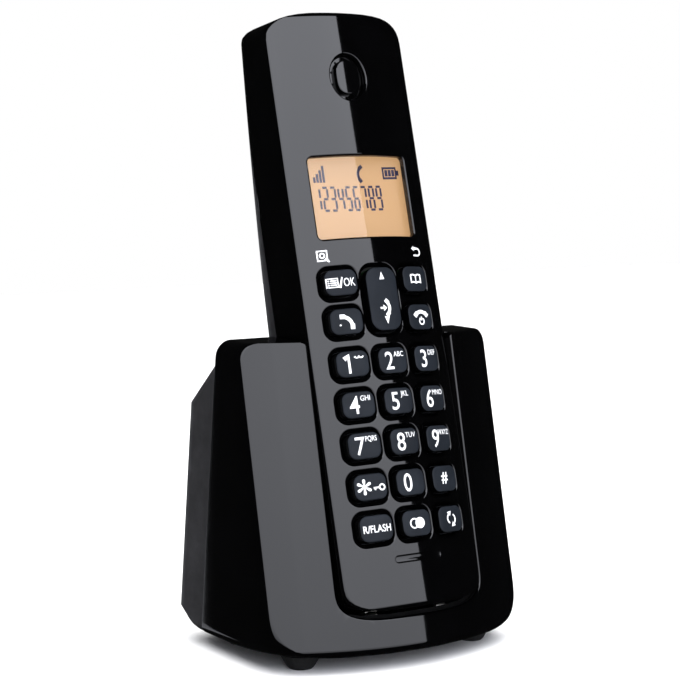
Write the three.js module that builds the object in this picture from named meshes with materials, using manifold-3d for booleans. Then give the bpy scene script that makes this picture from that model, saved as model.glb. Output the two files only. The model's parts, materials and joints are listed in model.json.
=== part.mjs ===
// A cordless telephone handset standing in its charging base.
// Millimetres, +Z up, the telephone's front towards -Y, the origin under the middle of the base.
import * as THREE from "three";
import { mergeVertices } from "three/addons/utils/BufferGeometryUtils.js";
import Module from "manifold-3d";

const wasm = await Module();
wasm.setup();

// ---- driving dimensions: handset (its own frame stands upright, face crown at y = 0, foot at z = 0) ----
const LEAN = THREE.MathUtils.degToRad(15.1);
const HANDSET = { length: 160.5, width: 44, faceRadius: 52, edge: 1.4, wall: 1.8, split: 19.5 };
const HANDSET_END = { reach: 9, power: 3.5 }; // the rounding of its outline at both ends
const HANDSET_BACK = { deepest: 29.6, deepestAt: 70, footLoss: 7, headLoss: 7.5, corner: 9, end: 3.5, reach: 5 };
const GAP = 0.3; // between pieces that touch or are glued

// ---- driving dimensions: base ----
const BASE = { height: 84.8, width: 80.5, faceRadius: 70, edge: 3, wall: 2.2, floor: 4.2 };
const FACE_PLANE = { atFloor: -33.44, slope: Math.tan(THREE.MathUtils.degToRad(12.3)) };
const BASE_TOP = { reach: 6, power: 2.8 };
const BASE_BOTTOM = { reach: 12, power: 2.8, sideRound: 2.5, chinRise: 2.5, chinDepth: 3 };
const SPLIT_PLANE = { atFloor: 15.9, slope: -0.1137 }; // where the gloss shell meets the rear housing
const REAR_PLANE = {
  atFloor: 33.8,
  slope: -0.119,
  corner: 7,
  bevelFrom: 66.5,
  bevelSlope: 1.06,
  chamferTo: 9.5,
  chamferSlope: 1.7,
};
const REAR_HOUSING = { step: 0.4, top: 79.5 };
const SEAT = { y: -33, z: 16.5 }; // the handset's origin in the base's frame
const SLOT = { gap: 0.9, below: 1 }; // round the handset, and added under its foot, in the face of the base
const POCKET = { gap: 0.9, wall: 1.6, reliefHalf: 17.5, reliefFront: 18, reliefDrop: 3.9 };

// ---- driving dimensions: keys ----
const COLUMN = 11.8;
const ROW = 10.8;
const FIRST_ROW = 64.7; // height of the 1-2-3 row
const KEY = { width: 8.9, height: 6.9, radius: 2.2, rise: 1.4, lip: 0.7, travel: 0.8 };
const WELL = { width: 11.5, height: 9.7, radius: 3.2, dish: 1.1 };
const NAVIGATOR = { z: 81.3, width: 9.6, height: 17, wellWidth: 12.2, wellHeight: 20 };
const KEY_GAP = 0.35;

// ---- driving dimensions: display, earpiece, microphone, inside ----
const DISPLAY = { z: 109.6, width: 30.6, height: 22.2, radius: 1.3, rim: 1.1, margin: 1.8 };
const EARPIECE = { z: 142.3, width: 11.8, height: 13.4, padWidth: 6.4, padHeight: 9.2 };
const MICROPHONE = { z: 12.8, width: 14.3, height: 1.9 };
const BOARD = { front: 8.7, thick: 1, half: 18.6, low: 8, high: 127 };
const MAT = { front: 7.6, back: 8.4, half: 18, low: 16, high: 92.5 };
const CELL = { radius: 5.1, length: 44, x: 5.6, low: 24.5, y: 18.2 };
const TRAY = { half: 12.6, low: 23.2, high: 69.8, floor: 12.2, wall: 1.2 };
const COVER = { half: 16.5, high: 76, inner: 20.8, ledge: 19.8 };
const RINGER = { z: 104, radius: 10, thick: 3.6 };
const CONTACT = { x: 11, y: 10, width: 6, depth: 4, thick: 0.6, lift: 0.35 };

// ---- driving dimensions: underside, jacks and page button of the base ----
const FOOT = { radius: 3.7, flare: 5.6, height: 4.2, peg: 3, x: 27.6, front: -15.2, back: 15.3 };
const PLATE = { half: 22, front: -7.2, thick: 1.2 };
const HATCH = { half: 14.5, front: -3.5, back: 8.5 }; // the opening in the underside above the plate
const SCREW = { x: 18.6, front: -2.2, back: 19.1, head: 2.5, shank: 1.3, length: 8.5, boss: 2.6, bossTop: 14 };
const BASE_BOARD = { half: 28, front: -0.5, back: 27.8, z: 14.6, thick: 1.6 };
const LINE_JACK = { x: -14, half: 6.3, front: 16.5, back: 30.2, z: 16.6, height: 12 };
const DC_JACK = { x: 13, half: 5, front: 18.5, back: 30.2, z: 16.6, height: 11, bore: 3.2, pin: 1 };
const PAGE = { z: 50, radius: 4, rim: 5.2 };

const MATERIALS = {
  gloss_black: { color: 0x060607, roughness: 0.08 },
  matte_black: { color: 0x1a1a1c, roughness: 0.6 },
  key_grey: { color: 0x24272c, roughness: 0.45 },
  display_clear: { color: 0xd8c8b4, roughness: 0.05 },
  display_amber: { color: 0xe6b184, roughness: 0.5 },
  white_plastic: { color: 0xd9d9d4, roughness: 0.5 },
  board_green: { color: 0x1f5a33, roughness: 0.5 },
  silicone: { color: 0x3b3d40, roughness: 0.8 },
  speaker_dark: { color: 0x2c2c2e, roughness: 0.5 },
  cell_wrap: { color: 0x5f8f3c, roughness: 0.35 },
  contact_metal: { color: 0xc9c6bd, roughness: 0.25, metalness: 1 },
  rubber_foot: { color: 0x151515, roughness: 0.9 },
};

// ---------------------------------------------------------------- solids and geometry

// A closed three.js geometry as a manifold-3d solid.
function solidOf(geometry) {
  geometry.deleteAttribute("normal");
  geometry.deleteAttribute("uv");
  const merged = mergeVertices(geometry, 1e-4);
  const mesh = new wasm.Mesh({
    numProp: 3,
    vertProperties: merged.attributes.position.array,
    triVerts: merged.index.array,
  });
  return new wasm.Manifold(mesh);
}

// A manifold-3d solid as a three.js geometry with flat normals.
function geometryOf(solid) {
  const { vertProperties, triVerts, numProp } = solid.getMesh();
  const points = [];
  for (let i = 0; i < vertProperties.length; i += numProp) points.push(...vertProperties.slice(i, i + 3));
  const geometry = new THREE.BufferGeometry();
  geometry.setAttribute("position", new THREE.Float32BufferAttribute(points, 3));
  geometry.setIndex([...triVerts]);
  const flat = geometry.toNonIndexed();
  flat.computeVertexNormals();
  return flat;
}

const unite = (solids) => solids.reduce((all, one) => all.add(one));
const cutAll = (solid, tools) => solid.subtract(unite(tools));

// A box between two corners.
function box(low, high) {
  const size = high.map((value, axis) => value - low[axis]);
  const middle = high.map((value, axis) => (value + low[axis]) / 2);
  return solidOf(new THREE.BoxGeometry(...size).translate(...middle));
}

// A body through rings of equally many points. Each end is closed by strips between the two halves
// of its ring, which are mirror images of each other.
function loft(rings) {
  const count = rings[0].length;
  const last = (rings.length - 1) * count;
  const index = [];
  for (let i = 0; i < count; i++) {
    const next = (i + 1) % count;
    for (let start = 0; start < last; start += count) {
      index.push(start + i, start + next, start + count + next);
      index.push(start + i, start + count + next, start + count + i);
    }
  }
  for (let i = 0, j = count - 1; i + 1 < j; i++, j--) {
    index.push(i, j, i + 1, last + i, last + i + 1, last + j);
    if (i + 2 < j) index.push(i + 1, j, j - 1, last + i + 1, last + j - 1, last + j);
  }
  const geometry = new THREE.BufferGeometry().setFromPoints(rings.flat());
  geometry.setIndex(index);
  return solidOf(geometry);
}

// The outline of a rectangle with round corners, as points, clockwise seen from the front. Its upper
// and lower edges are divided by a number of points across, so that they can follow a curved face.
function roundOutline(width, height, radius, across = 0, steps = 2) {
  const half = width / 2 - radius;
  const upper = [];
  for (let step = 0; step <= 2 * steps + 1 + across; step++) {
    const corner = step <= steps ? step : Math.max(steps, step - across - 1);
    const angle = (Math.PI / 2) * (corner / steps);
    const share = THREE.MathUtils.clamp((step - steps) / (across + 1), 0, 1);
    const x = half * (1 - 2 * share) + radius * Math.cos(angle);
    upper.push(new THREE.Vector2(x, height / 2 - radius + radius * Math.sin(angle)));
  }
  const lower = upper.map((point) => new THREE.Vector2(point.x, -point.y));
  return [...lower, ...upper.reverse()];
}

// An ellipse as points, in the same order.
function ovalOutline(width, height, steps = 16) {
  const angles = Array.from({ length: steps }, (_, i) => (-2 * Math.PI * (i + 0.5)) / steps);
  return angles.map((a) => new THREE.Vector2((width / 2) * Math.cos(a), (height / 2) * Math.sin(a)));
}

// A round-cornered block from depth y0 to y1, centred on x and z.
function block(width, height, radius, y0, y1, x, z) {
  const shape = new THREE.Shape(roundOutline(width, height, radius));
  const geometry = new THREE.ExtrudeGeometry(shape, { depth: y1 - y0, bevelEnabled: false });
  return solidOf(geometry.rotateX(Math.PI / 2).translate(x, y1, z));
}

// A cylinder along Y from depth y0 to y1.
function discAlongY(radius, y0, y1, x, z, sides = 24) {
  const geometry = new THREE.CylinderGeometry(radius, radius, y1 - y0, sides);
  return solidOf(geometry.translate(x, (y0 + y1) / 2, z));
}

// A cylinder along Z from z0 to z1.
function discAlongZ(radius, z0, z1, x, y, sides = 20) {
  const geometry = new THREE.CylinderGeometry(radius, radius, z1 - z0, sides);
  return solidOf(geometry.rotateX(Math.PI / 2).translate(x, y, (z0 + z1) / 2));
}

// ---------------------------------------------------------------- the handset's form

const crown = (x) => (x * x) / (2 * HANDSET.faceRadius);
const roundLoss = (radius, from) => (from < radius ? radius - Math.sqrt(radius ** 2 - (radius - from) ** 2) : 0);
const endShare = (from, { reach, power }) =>
  from < reach ? (1 - (1 - from / reach) ** power) ** (1 / power) : 1;

// How deep the back lies behind the face crown at height z.
function backDepth(z) {
  const { deepest, deepestAt, footLoss, headLoss } = HANDSET_BACK;
  const below = Math.max(0, (deepestAt - z) / deepestAt);
  const above = Math.max(0, (z - deepestAt) / (HANDSET.length - deepestAt));
  return deepest - footLoss * below ** 2 - headLoss * above ** 1.45;
}

// A level ring from the points of its right half, listed from the front's middle to the back's.
function mirroredRing(right, z) {
  const left = right.map(([x, y]) => [-x, y]).reverse();
  return [...right, ...left].map(([x, y]) => new THREE.Vector3(x, y, z));
}

// One level ring of the handset, offset outwards by grow.
function handsetRing(z, grow) {
  const fromEnd = Math.min(z + grow, HANDSET.length + grow - z);
  const end = { reach: HANDSET_END.reach + grow, power: HANDSET_END.power };
  const half = (HANDSET.width / 2 + grow) * endShare(fromEnd, end);
  const edge = Math.min(HANDSET.edge + grow / 2, half * 0.7);
  const drop = roundLoss(HANDSET.edge + grow / 2, fromEnd) - grow;
  const back = backDepth(z) + grow - roundLoss(HANDSET_BACK.end + grow, fromEnd);
  const slope = Math.atan((half - edge) / HANDSET.faceRadius);
  const frontX = half - edge + edge * Math.sin(slope);
  const edgeY = crown(frontX) + drop + edge * Math.cos(slope);
  const backEnd = { reach: HANDSET_BACK.reach + grow, power: HANDSET_END.power };
  const backHalf = (HANDSET.width / 2 + grow) * endShare(fromEnd, backEnd);
  const cornerX = Math.min(HANDSET_BACK.corner + grow, half * 0.6);
  const cornerY = Math.min(8, back - edgeY - 0.5);
  const right = [1, 3, 5, 7].map((i) => [(frontX * i) / 8, crown((frontX * i) / 8) + drop]);
  for (const share of [0, 1 / 3, 2 / 3, 1]) {
    const angle = slope + (Math.PI / 2 - slope) * share;
    right.push([half - edge + edge * Math.sin(angle), edgeY - edge * Math.cos(angle)]);
  }
  for (const share of [0, 0.25, 0.5, 0.75, 1]) {
    const angle = (Math.PI / 2) * share;
    const x = backHalf - cornerX + cornerX * Math.cos(angle);
    right.push([x, back - cornerY + cornerY * Math.sin(angle)]);
  }
  return mirroredRing(right, z);
}

// The handset's outer form, offset by grow.
function handsetForm(grow) {
  const near = [0.05, 0.7, 1.8, 3.5, 6];
  const low = -grow;
  const high = HANDSET.length + grow;
  const middle = Array.from({ length: 8 }, (_, i) => low + 10 + (i * (high - low - 20)) / 7);
  const levels = [...near.map((e) => low + e), ...middle, ...near.map((e) => high - e).reverse()];
  return loft(levels.map((z) => handsetRing(z, grow)));
}

// A piece that follows the face crown: rings of an outline at given depths below it.
function crownLoft(x, z, rings) {
  const made = rings.map(({ outline, depth, level }) =>
    outline.map((p) => {
      const px = x + p.x;
      const y = level === undefined ? crown(px) + depth : level;
      return new THREE.Vector3(px, y, z + p.y);
    }),
  );
  return loft(made);
}

const OUT = 3; // how far a cutter reaches past the surface it cuts
const handsetOuter = handsetForm(0);
const handsetInner = handsetForm(-HANDSET.wall);
const handsetShell = handsetOuter.subtract(handsetInner);
const WIDE = 200;
const beyondY = (y) => box([-WIDE, y, -WIDE], [WIDE, WIDE, WIDE + HANDSET.length]);

// ---------------------------------------------------------------- keys

// Every key with its centre and the sizes of its cap and well.
function keyPlan() {
  const plan = [];
  const add = (name, column, z) => plan.push({ name, x: column * COLUMN, z, cap: KEY, well: WELL });
  const upperRow = FIRST_ROW + 2 * ROW + 0.1;
  const talkRow = FIRST_ROW + ROW + 0.5;
  add("key_menu", -1, upperRow);
  add("key_phonebook", 1, upperRow);
  add("key_talk", -1, talkRow);
  add("key_power", 1, talkRow);
  const rows = [
    ["key_1", "key_2", "key_3"],
    ["key_4", "key_5", "key_6"],
    ["key_7", "key_8", "key_9"],
    ["key_star", "key_0", "key_hash"],
    ["key_recall", "key_conference", "key_redial"],
  ];
  rows.forEach((names, row) => names.forEach((name, i) => add(name, i - 1, FIRST_ROW - row * ROW)));
  plan.push({
    name: "key_navigator",
    x: 0,
    z: NAVIGATOR.z,
    cap: { ...KEY, width: NAVIGATOR.width, height: NAVIGATOR.height, radius: 3.2 },
    well: { ...WELL, width: NAVIGATOR.wellWidth, height: NAVIGATOR.wellHeight, radius: 4.4 },
  });
  return plan;
}
const KEYS = keyPlan();

// The dished well of a key and the hole through the wall below it.
function wellTool({ name, x, z, cap, well }) {
  const gap = name === "key_navigator" ? KEY_GAP + 0.2 : KEY_GAP;
  const hole = roundOutline(cap.width + 2 * gap, cap.height + 2 * gap, cap.radius + gap);
  const slope = (well.width - cap.width - 2 * gap) / well.dish;
  const mouth = roundOutline(well.width + slope, well.height + slope, well.radius + slope / 2);
  const dish = [
    { outline: mouth, depth: -1 },
    { outline: hole, depth: well.dish },
    { outline: hole, depth: HANDSET.wall + OUT },
  ];
  return crownLoft(x, z, dish);
}

// A key: crowned cap, retaining lip under the wall, and a stem that meets the mat.
function keySolid({ x, z, cap }) {
  const outline = (inset) => roundOutline(cap.width - 2 * inset, cap.height - 2 * inset, cap.radius - inset);
  const lipTop = HANDSET.wall + 0.5;
  const stem = roundOutline(cap.width - 4.4, Math.min(cap.height - 3.4, 12), 0.8);
  const rings = [
    { outline: outline(0.7), depth: -cap.rise },
    { outline: outline(0), depth: -cap.rise + 0.6 },
    { outline: outline(0), depth: lipTop },
    { outline: outline(-cap.lip), depth: lipTop },
    { outline: outline(-cap.lip), depth: lipTop + 0.8 },
    { outline: stem, depth: lipTop + 0.8 },
    { outline: stem, level: MAT.front - KEY.travel - 0.3 },
  ];
  return crownLoft(x, z, rings);
}

// ---------------------------------------------------------------- handset pieces

// The opening over the display, with the rebate that holds the window from behind.
function displayTools() {
  const { z, width, height, radius, rim, margin } = DISPLAY;
  const opening = [
    { outline: roundOutline(width + 4 * rim, height + 4 * rim, radius + 2 * rim, 7), depth: -1 },
    { outline: roundOutline(width, height, radius, 7), depth: 0.9 },
    { outline: roundOutline(width, height, radius, 7), depth: OUT },
  ];
  const room = 2 * (margin + GAP);
  const seat = roundOutline(width + room, height + room, radius + GAP, 7);
  const rebate = [
    { outline: seat, depth: 1 },
    { outline: seat, depth: HANDSET.wall + OUT },
  ];
  return [crownLoft(0, z, opening), crownLoft(0, z, rebate)];
}

function earpieceTool() {
  const { z, width, height } = EARPIECE;
  const rings = [
    { outline: ovalOutline(width + 1.4, height + 1.4), depth: -0.7 },
    { outline: ovalOutline(width - 1, height - 1), depth: 0.8 },
    { outline: ovalOutline(width - 1, height - 1), depth: HANDSET.wall + OUT },
  ];
  return crownLoft(0, z, rings);
}

// The microphone's shallow slot, with one hole through its middle.
function microphoneTools() {
  const { z, width, height } = MICROPHONE;
  const slot = roundOutline(width, height, height / 2 - 0.05, 3);
  const rings = [
    { outline: slot, depth: -1 },
    { outline: slot, depth: 0.5 },
  ];
  return [crownLoft(0, z, rings), discAlongY(0.7, -1, HANDSET.wall + OUT, 0, z, 10)];
}

// The recesses in the foot of the handset that hold its charge contacts.
function contactRecess(side) {
  const { x, y, width, depth, thick, lift } = CONTACT;
  const half = { x: width / 2 + GAP, y: depth / 2 + GAP };
  const top = lift + thick + GAP;
  return box([side * x - half.x, y - half.y, -OUT], [side * x + half.x, y + half.y, top]);
}

function handsetFrontCase() {
  const front = handsetShell.subtract(beyondY(HANDSET.split));
  const tools = [
    ...KEYS.map(wellTool),
    ...displayTools(),
    earpieceTool(),
    ...microphoneTools(),
    contactRecess(-1),
    contactRecess(1),
  ];
  return cutAll(front, tools);
}

// The sound slots of the ringer through the back.
function ringerSlots() {
  return [-5, 0, 5].map((rise) => block(12, 1.4, 0.6, RINGER.thick, WIDE, 0, RINGER.z + rise));
}

function handsetRearCase() {
  const { half, low, high, floor, wall } = TRAY;
  const rim = handsetShell.intersect(beyondY(HANDSET.split + GAP));
  const coverSpace = box([-COVER.half - GAP, COVER.inner - GAP, -OUT], [COVER.half + GAP, WIDE, COVER.high + GAP]);
  const inside = handsetForm(-HANDSET.wall / 2);
  const ledge = box([-WIDE, COVER.ledge, 1.2], [WIDE, COVER.inner - GAP, COVER.high + 3]).intersect(inside);
  const step = box([-WIDE, COVER.ledge, COVER.high + GAP], [WIDE, WIDE, COVER.high + 3]).intersect(inside);
  const basin = box([-half - wall, floor - wall, low - wall], [half + wall, COVER.inner - GAP, high + wall]);
  const hollow = box([-half, floor, low], [half, WIDE, high]);
  const screwHoles = [-1, 1].map((side) => discAlongY(1.2, 0, WIDE, side * 14.8, high - 4, 12));
  const body = unite([rim, ledge, step]).subtract(coverSpace).add(basin);
  return cutAll(body, [hollow, ...ringerSlots(), ...screwHoles]);
}

function batteryCover() {
  const region = box([-COVER.half, COVER.inner, -OUT], [COVER.half, WIDE, COVER.high]);
  const grips = [0, 1, 2].map((i) => block(12, 0.9, 0.4, WIDE, WIDE + 1, 0, COVER.high - 6 - 2 * i));
  const plain = handsetOuter.subtract(handsetForm(-1.5)).intersect(region);
  return grips.reduce((cover, grip) => cover.subtract(grip.translate([0, backDepth(66) - 0.5 - WIDE, 0])), plain);
}

function displayWindow() {
  const { z, width, height, radius, margin } = DISPLAY;
  const outline = roundOutline(width + 2 * margin, height + 2 * margin, radius, 7);
  return crownLoft(0, z, [
    { outline, depth: 1.3 },
    { outline, depth: 2.3 },
  ]);
}

// The earpiece insert: an oval plate with a raised pad and a ring of sound holes between them.
function earpieceGrille() {
  const { z, width, height, padWidth, padHeight } = EARPIECE;
  const rings = [
    { outline: ovalOutline(padWidth - 0.8, padHeight - 0.8), depth: 0.5 },
    { outline: ovalOutline(padWidth, padHeight), depth: 0.9 },
    { outline: ovalOutline(padWidth, padHeight), depth: 1.7 },
    { outline: ovalOutline(width - 1 - 2 * GAP, height - 1 - 2 * GAP), depth: 1.7 },
    { outline: ovalOutline(width - 1 - 2 * GAP, height - 1 - 2 * GAP), depth: 2.6 },
  ];
  const holes = [0, 1, 2, 3, 4, 5].map((i) => {
    const angle = (Math.PI * (i + 0.5)) / 3;
    const ring = { x: (padWidth + width - 2) / 4, z: (padHeight + height - 2) / 4 };
    return discAlongY(0.4, -1, 5, ring.x * Math.cos(angle), z + ring.z * Math.sin(angle), 8);
  });
  return cutAll(crownLoft(0, z, rings), holes);
}

function handsetBoard() {
  const { front, thick, half, low, high } = BOARD;
  return block(2 * half, high - low, 6, front, front + thick, 0, (low + high) / 2);
}

// The silicone mat: one sheet behind all the keys.
function keypadMat() {
  const { front, back, half, low, high } = MAT;
  return block(2 * half, high - low, 3, front, back, 0, (low + high) / 2);
}

function cell() {
  const { radius, length } = CELL;
  const profile = [
    [0, 0],
    [radius - 0.6, 0],
    [radius, 0.6],
    [radius, length - 1.6],
    [radius - 0.8, length - 0.8],
    [1.9, length - 0.8],
    [1.9, length],
    [0, length],
  ].map(([x, y]) => new THREE.Vector2(x, y));
  return solidOf(new THREE.LatheGeometry(profile, 20).rotateX(Math.PI / 2));
}

// A sheet-metal strip across both cells at one end of the tray.
function cellContact(z0) {
  const { floor, half } = TRAY;
  return box([-half + 0.6, floor + 1, z0], [half - 0.6, floor + 8.6, z0 + 0.5]);
}

// A pan-head screw standing on its head's underside, shank along +Z.
function screw(length) {
  const profile = [
    [0, -1.1],
    [SCREW.head - 0.5, -1.1],
    [SCREW.head, -0.6],
    [SCREW.head, 0],
    [SCREW.shank, 0],
    [SCREW.shank, length - 0.8],
    [0, length],
  ].map(([x, y]) => new THREE.Vector2(x, y));
  const body = solidOf(new THREE.LatheGeometry(profile, 12).rotateX(Math.PI / 2));
  const slot = (angle) => box([-1.6, -0.3, -2], [1.6, 0.3, -0.6]).rotate([0, 0, angle]);
  return body.subtract(slot(0)).subtract(slot(90));
}

// ---------------------------------------------------------------- the base's form

const faceY = (z) => FACE_PLANE.atFloor + FACE_PLANE.slope * z;
const splitY = (z) => SPLIT_PLANE.atFloor + SPLIT_PLANE.slope * z;
const leaned = (solid) => solid.rotate([-THREE.MathUtils.radToDeg(LEAN), 0, 0]).translate([0, SEAT.y, SEAT.z]);

// The back of the rear housing at height z: an upright wall with a long bevel above and a chamfer below.
function rearY(z) {
  const { atFloor, slope, bevelFrom, bevelSlope, chamferTo, chamferSlope } = REAR_PLANE;
  const bevel = Math.max(0, z - bevelFrom) * bevelSlope;
  const chamfer = Math.max(0, chamferTo - z) * chamferSlope;
  return atFloor + slope * z - bevel - chamfer;
}

// One level ring of the whole base, shrunk by inset and narrowed by step; from the face crown to backY.
function baseRing(z, { inset, step = 0, backAt, backCorner }) {
  const backY = backAt(z);
  const low = BASE.floor + inset;
  const high = BASE.height - inset;
  const half = BASE.width / 2 - inset - step;
  const topShare = endShare(high - z, { reach: BASE_TOP.reach - inset, power: BASE_TOP.power });
  const bottomShare = endShare(z - low, { reach: BASE_BOTTOM.reach - inset, power: BASE_BOTTOM.power });
  const side = half * topShare - roundLoss(BASE_BOTTOM.sideRound, z - low);
  const front = Math.min(side, half * topShare * bottomShare);
  const { chinRise, chinDepth } = BASE_BOTTOM;
  const chinShare = Math.max(0, 1 - (z - low) / chinRise);
  const chin = chinDepth * (1 - Math.sqrt(1 - chinShare ** 2));
  const edge = Math.min(BASE.edge, front * 0.5);
  const cornerX = edge + side - front;
  const cornerY = edge + 1.3 * (side - front);
  const faceAt = (x) => faceY(z) + inset + (x * x) / (2 * BASE.faceRadius) + chin;
  const startX = side - cornerX;
  const right = [1, 3, 5, 7].map((i) => [(startX * i) / 8, faceAt((startX * i) / 8)]);
  for (const share of [0, 0.25, 0.5, 0.75, 1]) {
    const angle = (Math.PI / 2) * share;
    const x = startX + cornerX * Math.sin(angle);
    const drop = cornerY * (1 - Math.cos(angle));
    right.push([x, faceAt(startX) + drop]);
  }
  const corner = Math.min(backCorner, side * 0.5, (backY - right.at(-1)[1]) * 0.8);
  for (const share of [0, 0.25, 0.5, 0.75, 1]) {
    const angle = (Math.PI / 2) * share;
    right.push([side - corner + corner * Math.cos(angle), backY - corner + corner * Math.sin(angle)]);
  }
  return mirroredRing(right, z);
}

// The base's form up to a top level; backAt(z) says how far back each level reaches.
function baseForm(top, form) {
  const near = [0.1, 1, 2.4].map((e) => BASE.floor + form.inset + e);
  const bends = [REAR_PLANE.chamferTo, 13, 20, 42, REAR_PLANE.bevelFrom];
  const levels = [...near, ...bends, ...[8, 5, 2.8, 1.2, 0.4, 0.05].map((e) => top - e)];
  return loft(levels.map((z) => baseRing(z, form)));
}

const SHARP = 0.2; // corner radius of an edge that is left sharp
const innerBack = (z) => Math.max(rearY(z) - BASE.wall, splitY(z) - 3);
const shellOuter = baseForm(BASE.height, { inset: 0, backAt: splitY, backCorner: SHARP });
const shellInner = baseForm(BASE.height - BASE.wall, {
  inset: BASE.wall,
  backAt: () => REAR_PLANE.atFloor + 20,
  backCorner: SHARP,
});
const rearOuter = baseForm(REAR_HOUSING.top, {
  inset: 0,
  step: REAR_HOUSING.step,
  backAt: rearY,
  backCorner: REAR_PLANE.corner,
});
const rearInner = baseForm(REAR_HOUSING.top - BASE.wall, {
  inset: BASE.wall,
  step: REAR_HOUSING.step,
  backAt: innerBack,
  backCorner: REAR_PLANE.corner - BASE.wall,
});

// Everything behind the split plane, moved back by gap.
function behindSplit(gap) {
  const low = splitY(0) + gap;
  const high = splitY(100) + gap;
  const shape = new THREE.Shape([
    new THREE.Vector2(low + 0.4, -4),
    new THREE.Vector2(WIDE, -4),
    new THREE.Vector2(WIDE, 100),
    new THREE.Vector2(high, 100),
  ]);
  const geometry = new THREE.ExtrudeGeometry(shape, { depth: WIDE, bevelEnabled: false });
  const upright = new THREE.Matrix4().makeBasis(
    new THREE.Vector3(0, 1, 0),
    new THREE.Vector3(0, 0, 1),
    new THREE.Vector3(1, 0, 0),
  );
  return solidOf(geometry.applyMatrix4(upright).translate(-WIDE / 2, 0, 0));
}

// ---------------------------------------------------------------- base pieces

const footPlaces = [
  [-FOOT.x, FOOT.front],
  [FOOT.x, FOOT.front],
  [-FOOT.x, FOOT.back],
  [FOOT.x, FOOT.back],
];
const screwPlaces = [
  [-SCREW.x, SCREW.front],
  [SCREW.x, SCREW.front],
  [-SCREW.x, SCREW.back],
  [SCREW.x, SCREW.back],
];
const footRecess = ([x, y]) => discAlongZ(FOOT.peg + GAP, 0, BASE.floor + BASE.wall + 1, x, y, 16);
const plateTop = BASE.floor + PLATE.thick + GAP;

// The opening in the underside and the rebate round it that takes the bottom plate.
function undersideTools() {
  const { half, front } = PLATE;
  const opening = box([-HATCH.half, HATCH.front, 0], [HATCH.half, HATCH.back, BASE.floor + 5]);
  const rebate = box([-half - GAP, front - GAP, 0], [half + GAP, WIDE, plateTop]);
  return [opening, rebate, ...footPlaces.map(footRecess)];
}

// The screw bosses of one row, standing on the ledge round the opening.
function bosses(row) {
  return screwPlaces
    .filter(([, y]) => y === row)
    .map(([x, y]) => discAlongZ(SCREW.boss, plateTop, SCREW.bossTop, x, y, 16));
}
const bossHoles = screwPlaces.map(([x, y]) => discAlongZ(SCREW.shank + GAP, 0, SCREW.bossTop + 1, x, y, 12));

function baseFrontShell() {
  const room = handsetForm(SLOT.gap);
  const opening = unite([room, room.translate([0, -2, 0]), room.translate([0, -4, 0])]);
  const slot = leaned(opening.add(opening.translate([0, 0, -SLOT.below])));
  const hollow = shellOuter.subtract(shellInner);
  const body = unite([hollow, ...bosses(SCREW.front)]);
  return cutAll(body, [slot, leaned(relief(POCKET.wall + GAP)), ...undersideTools(), ...bossHoles]);
}

function jackOpenings() {
  const hole = ({ x, half, front, z, height }) =>
    box([x - half - GAP, front, z], [x + half + GAP, WIDE, z + height + 2 * GAP]);
  return [hole(LINE_JACK), hole(DC_JACK)];
}

function baseRearHousing() {
  const whole = rearOuter.intersect(behindSplit(GAP));
  const pocket = leaned(handsetForm(POCKET.gap + POCKET.wall + GAP));
  const body = unite([whole.subtract(rearInner), ...bosses(SCREW.back)]);
  return cutAll(body, [pocket, ...undersideTools(), ...bossHoles, ...jackOpenings()]);
}

// The pocket's relief, in the handset's frame: room below the foot for the battery cover to slide into.
function relief(grow) {
  const { gap, reliefHalf, reliefFront, reliefDrop } = POCKET;
  const back = backDepth(7) + gap + grow;
  const low = -reliefDrop - grow;
  return box([-reliefHalf - grow, reliefFront - grow, low], [reliefHalf + grow, back, 9]);
}

// The pocket behind the face that holds the lower half of the handset.
function cradleLiner() {
  const { gap, wall } = POCKET;
  const outer = handsetForm(gap + wall).add(relief(wall));
  const inner = handsetForm(gap).add(relief(0));
  const button = discAlongY(PAGE.radius + GAP, backDepth(PAGE.z) - 3, WIDE, 0, PAGE.z);
  const slots = [-1, 1].map((side) => {
    const x = side * CONTACT.x;
    return box([x - 1.8, CONTACT.y - 1.2, -8], [x + 1.8, CONTACT.y + 1.2, 3]);
  });
  const channel = cutAll(outer.subtract(inner), [button, ...slots]);
  const inset = BASE.wall + 0.6;
  const frontSpace = baseForm(BASE.height - inset, {
    inset,
    backAt: (z) => splitY(z) + 1,
    backCorner: SHARP,
  });
  const rearSpace = baseForm(REAR_HOUSING.top - 1, {
    inset,
    step: REAR_HOUSING.step,
    backAt: (z) => rearY(z) - 0.4,
    backCorner: REAR_PLANE.corner,
  });
  const space = unite([frontSpace, rearSpace.intersect(behindSplit(-3)), leaned(relief(wall))]);
  return leaned(channel).intersect(space);
}

function bottomPlate() {
  const { half, front, thick } = PLATE;
  const plate = box([-half, front, BASE.floor], [half, WIDE, BASE.floor + thick]).intersect(rearOuter);
  const pegs = footPlaces.map(footRecess);
  const holes = screwPlaces.map(([x, y]) => discAlongZ(SCREW.shank + GAP, 0, 9, x, y, 12));
  const vents = [-1, 0, 1].map((i) => box([-9, 3 + 3.2 * i - 0.8, 0], [9, 3 + 3.2 * i + 0.8, 9]));
  return cutAll(plate, [...holes, ...pegs, ...vents]);
}

function baseBoard() {
  const { half, front, back, z, thick } = BASE_BOARD;
  return box([-half, front, z], [half, back, z + thick]);
}

// The modular jack for the telephone line: a box with a keyed socket open to the rear.
function lineJack() {
  const { x, half, front, back, z, height } = LINE_JACK;
  const body = box([x - half, front, z + GAP], [x + half, back, z + GAP + height]);
  const socket = box([x - 4.9, front + 3, z + 3.4], [x + 4.9, back + 1, z + 10.2]);
  const latch = box([x - 3.1, front + 7, z + 1.8], [x + 3.1, back + 1, z + 3.6]);
  return cutAll(body, [socket, latch]);
}

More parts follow.
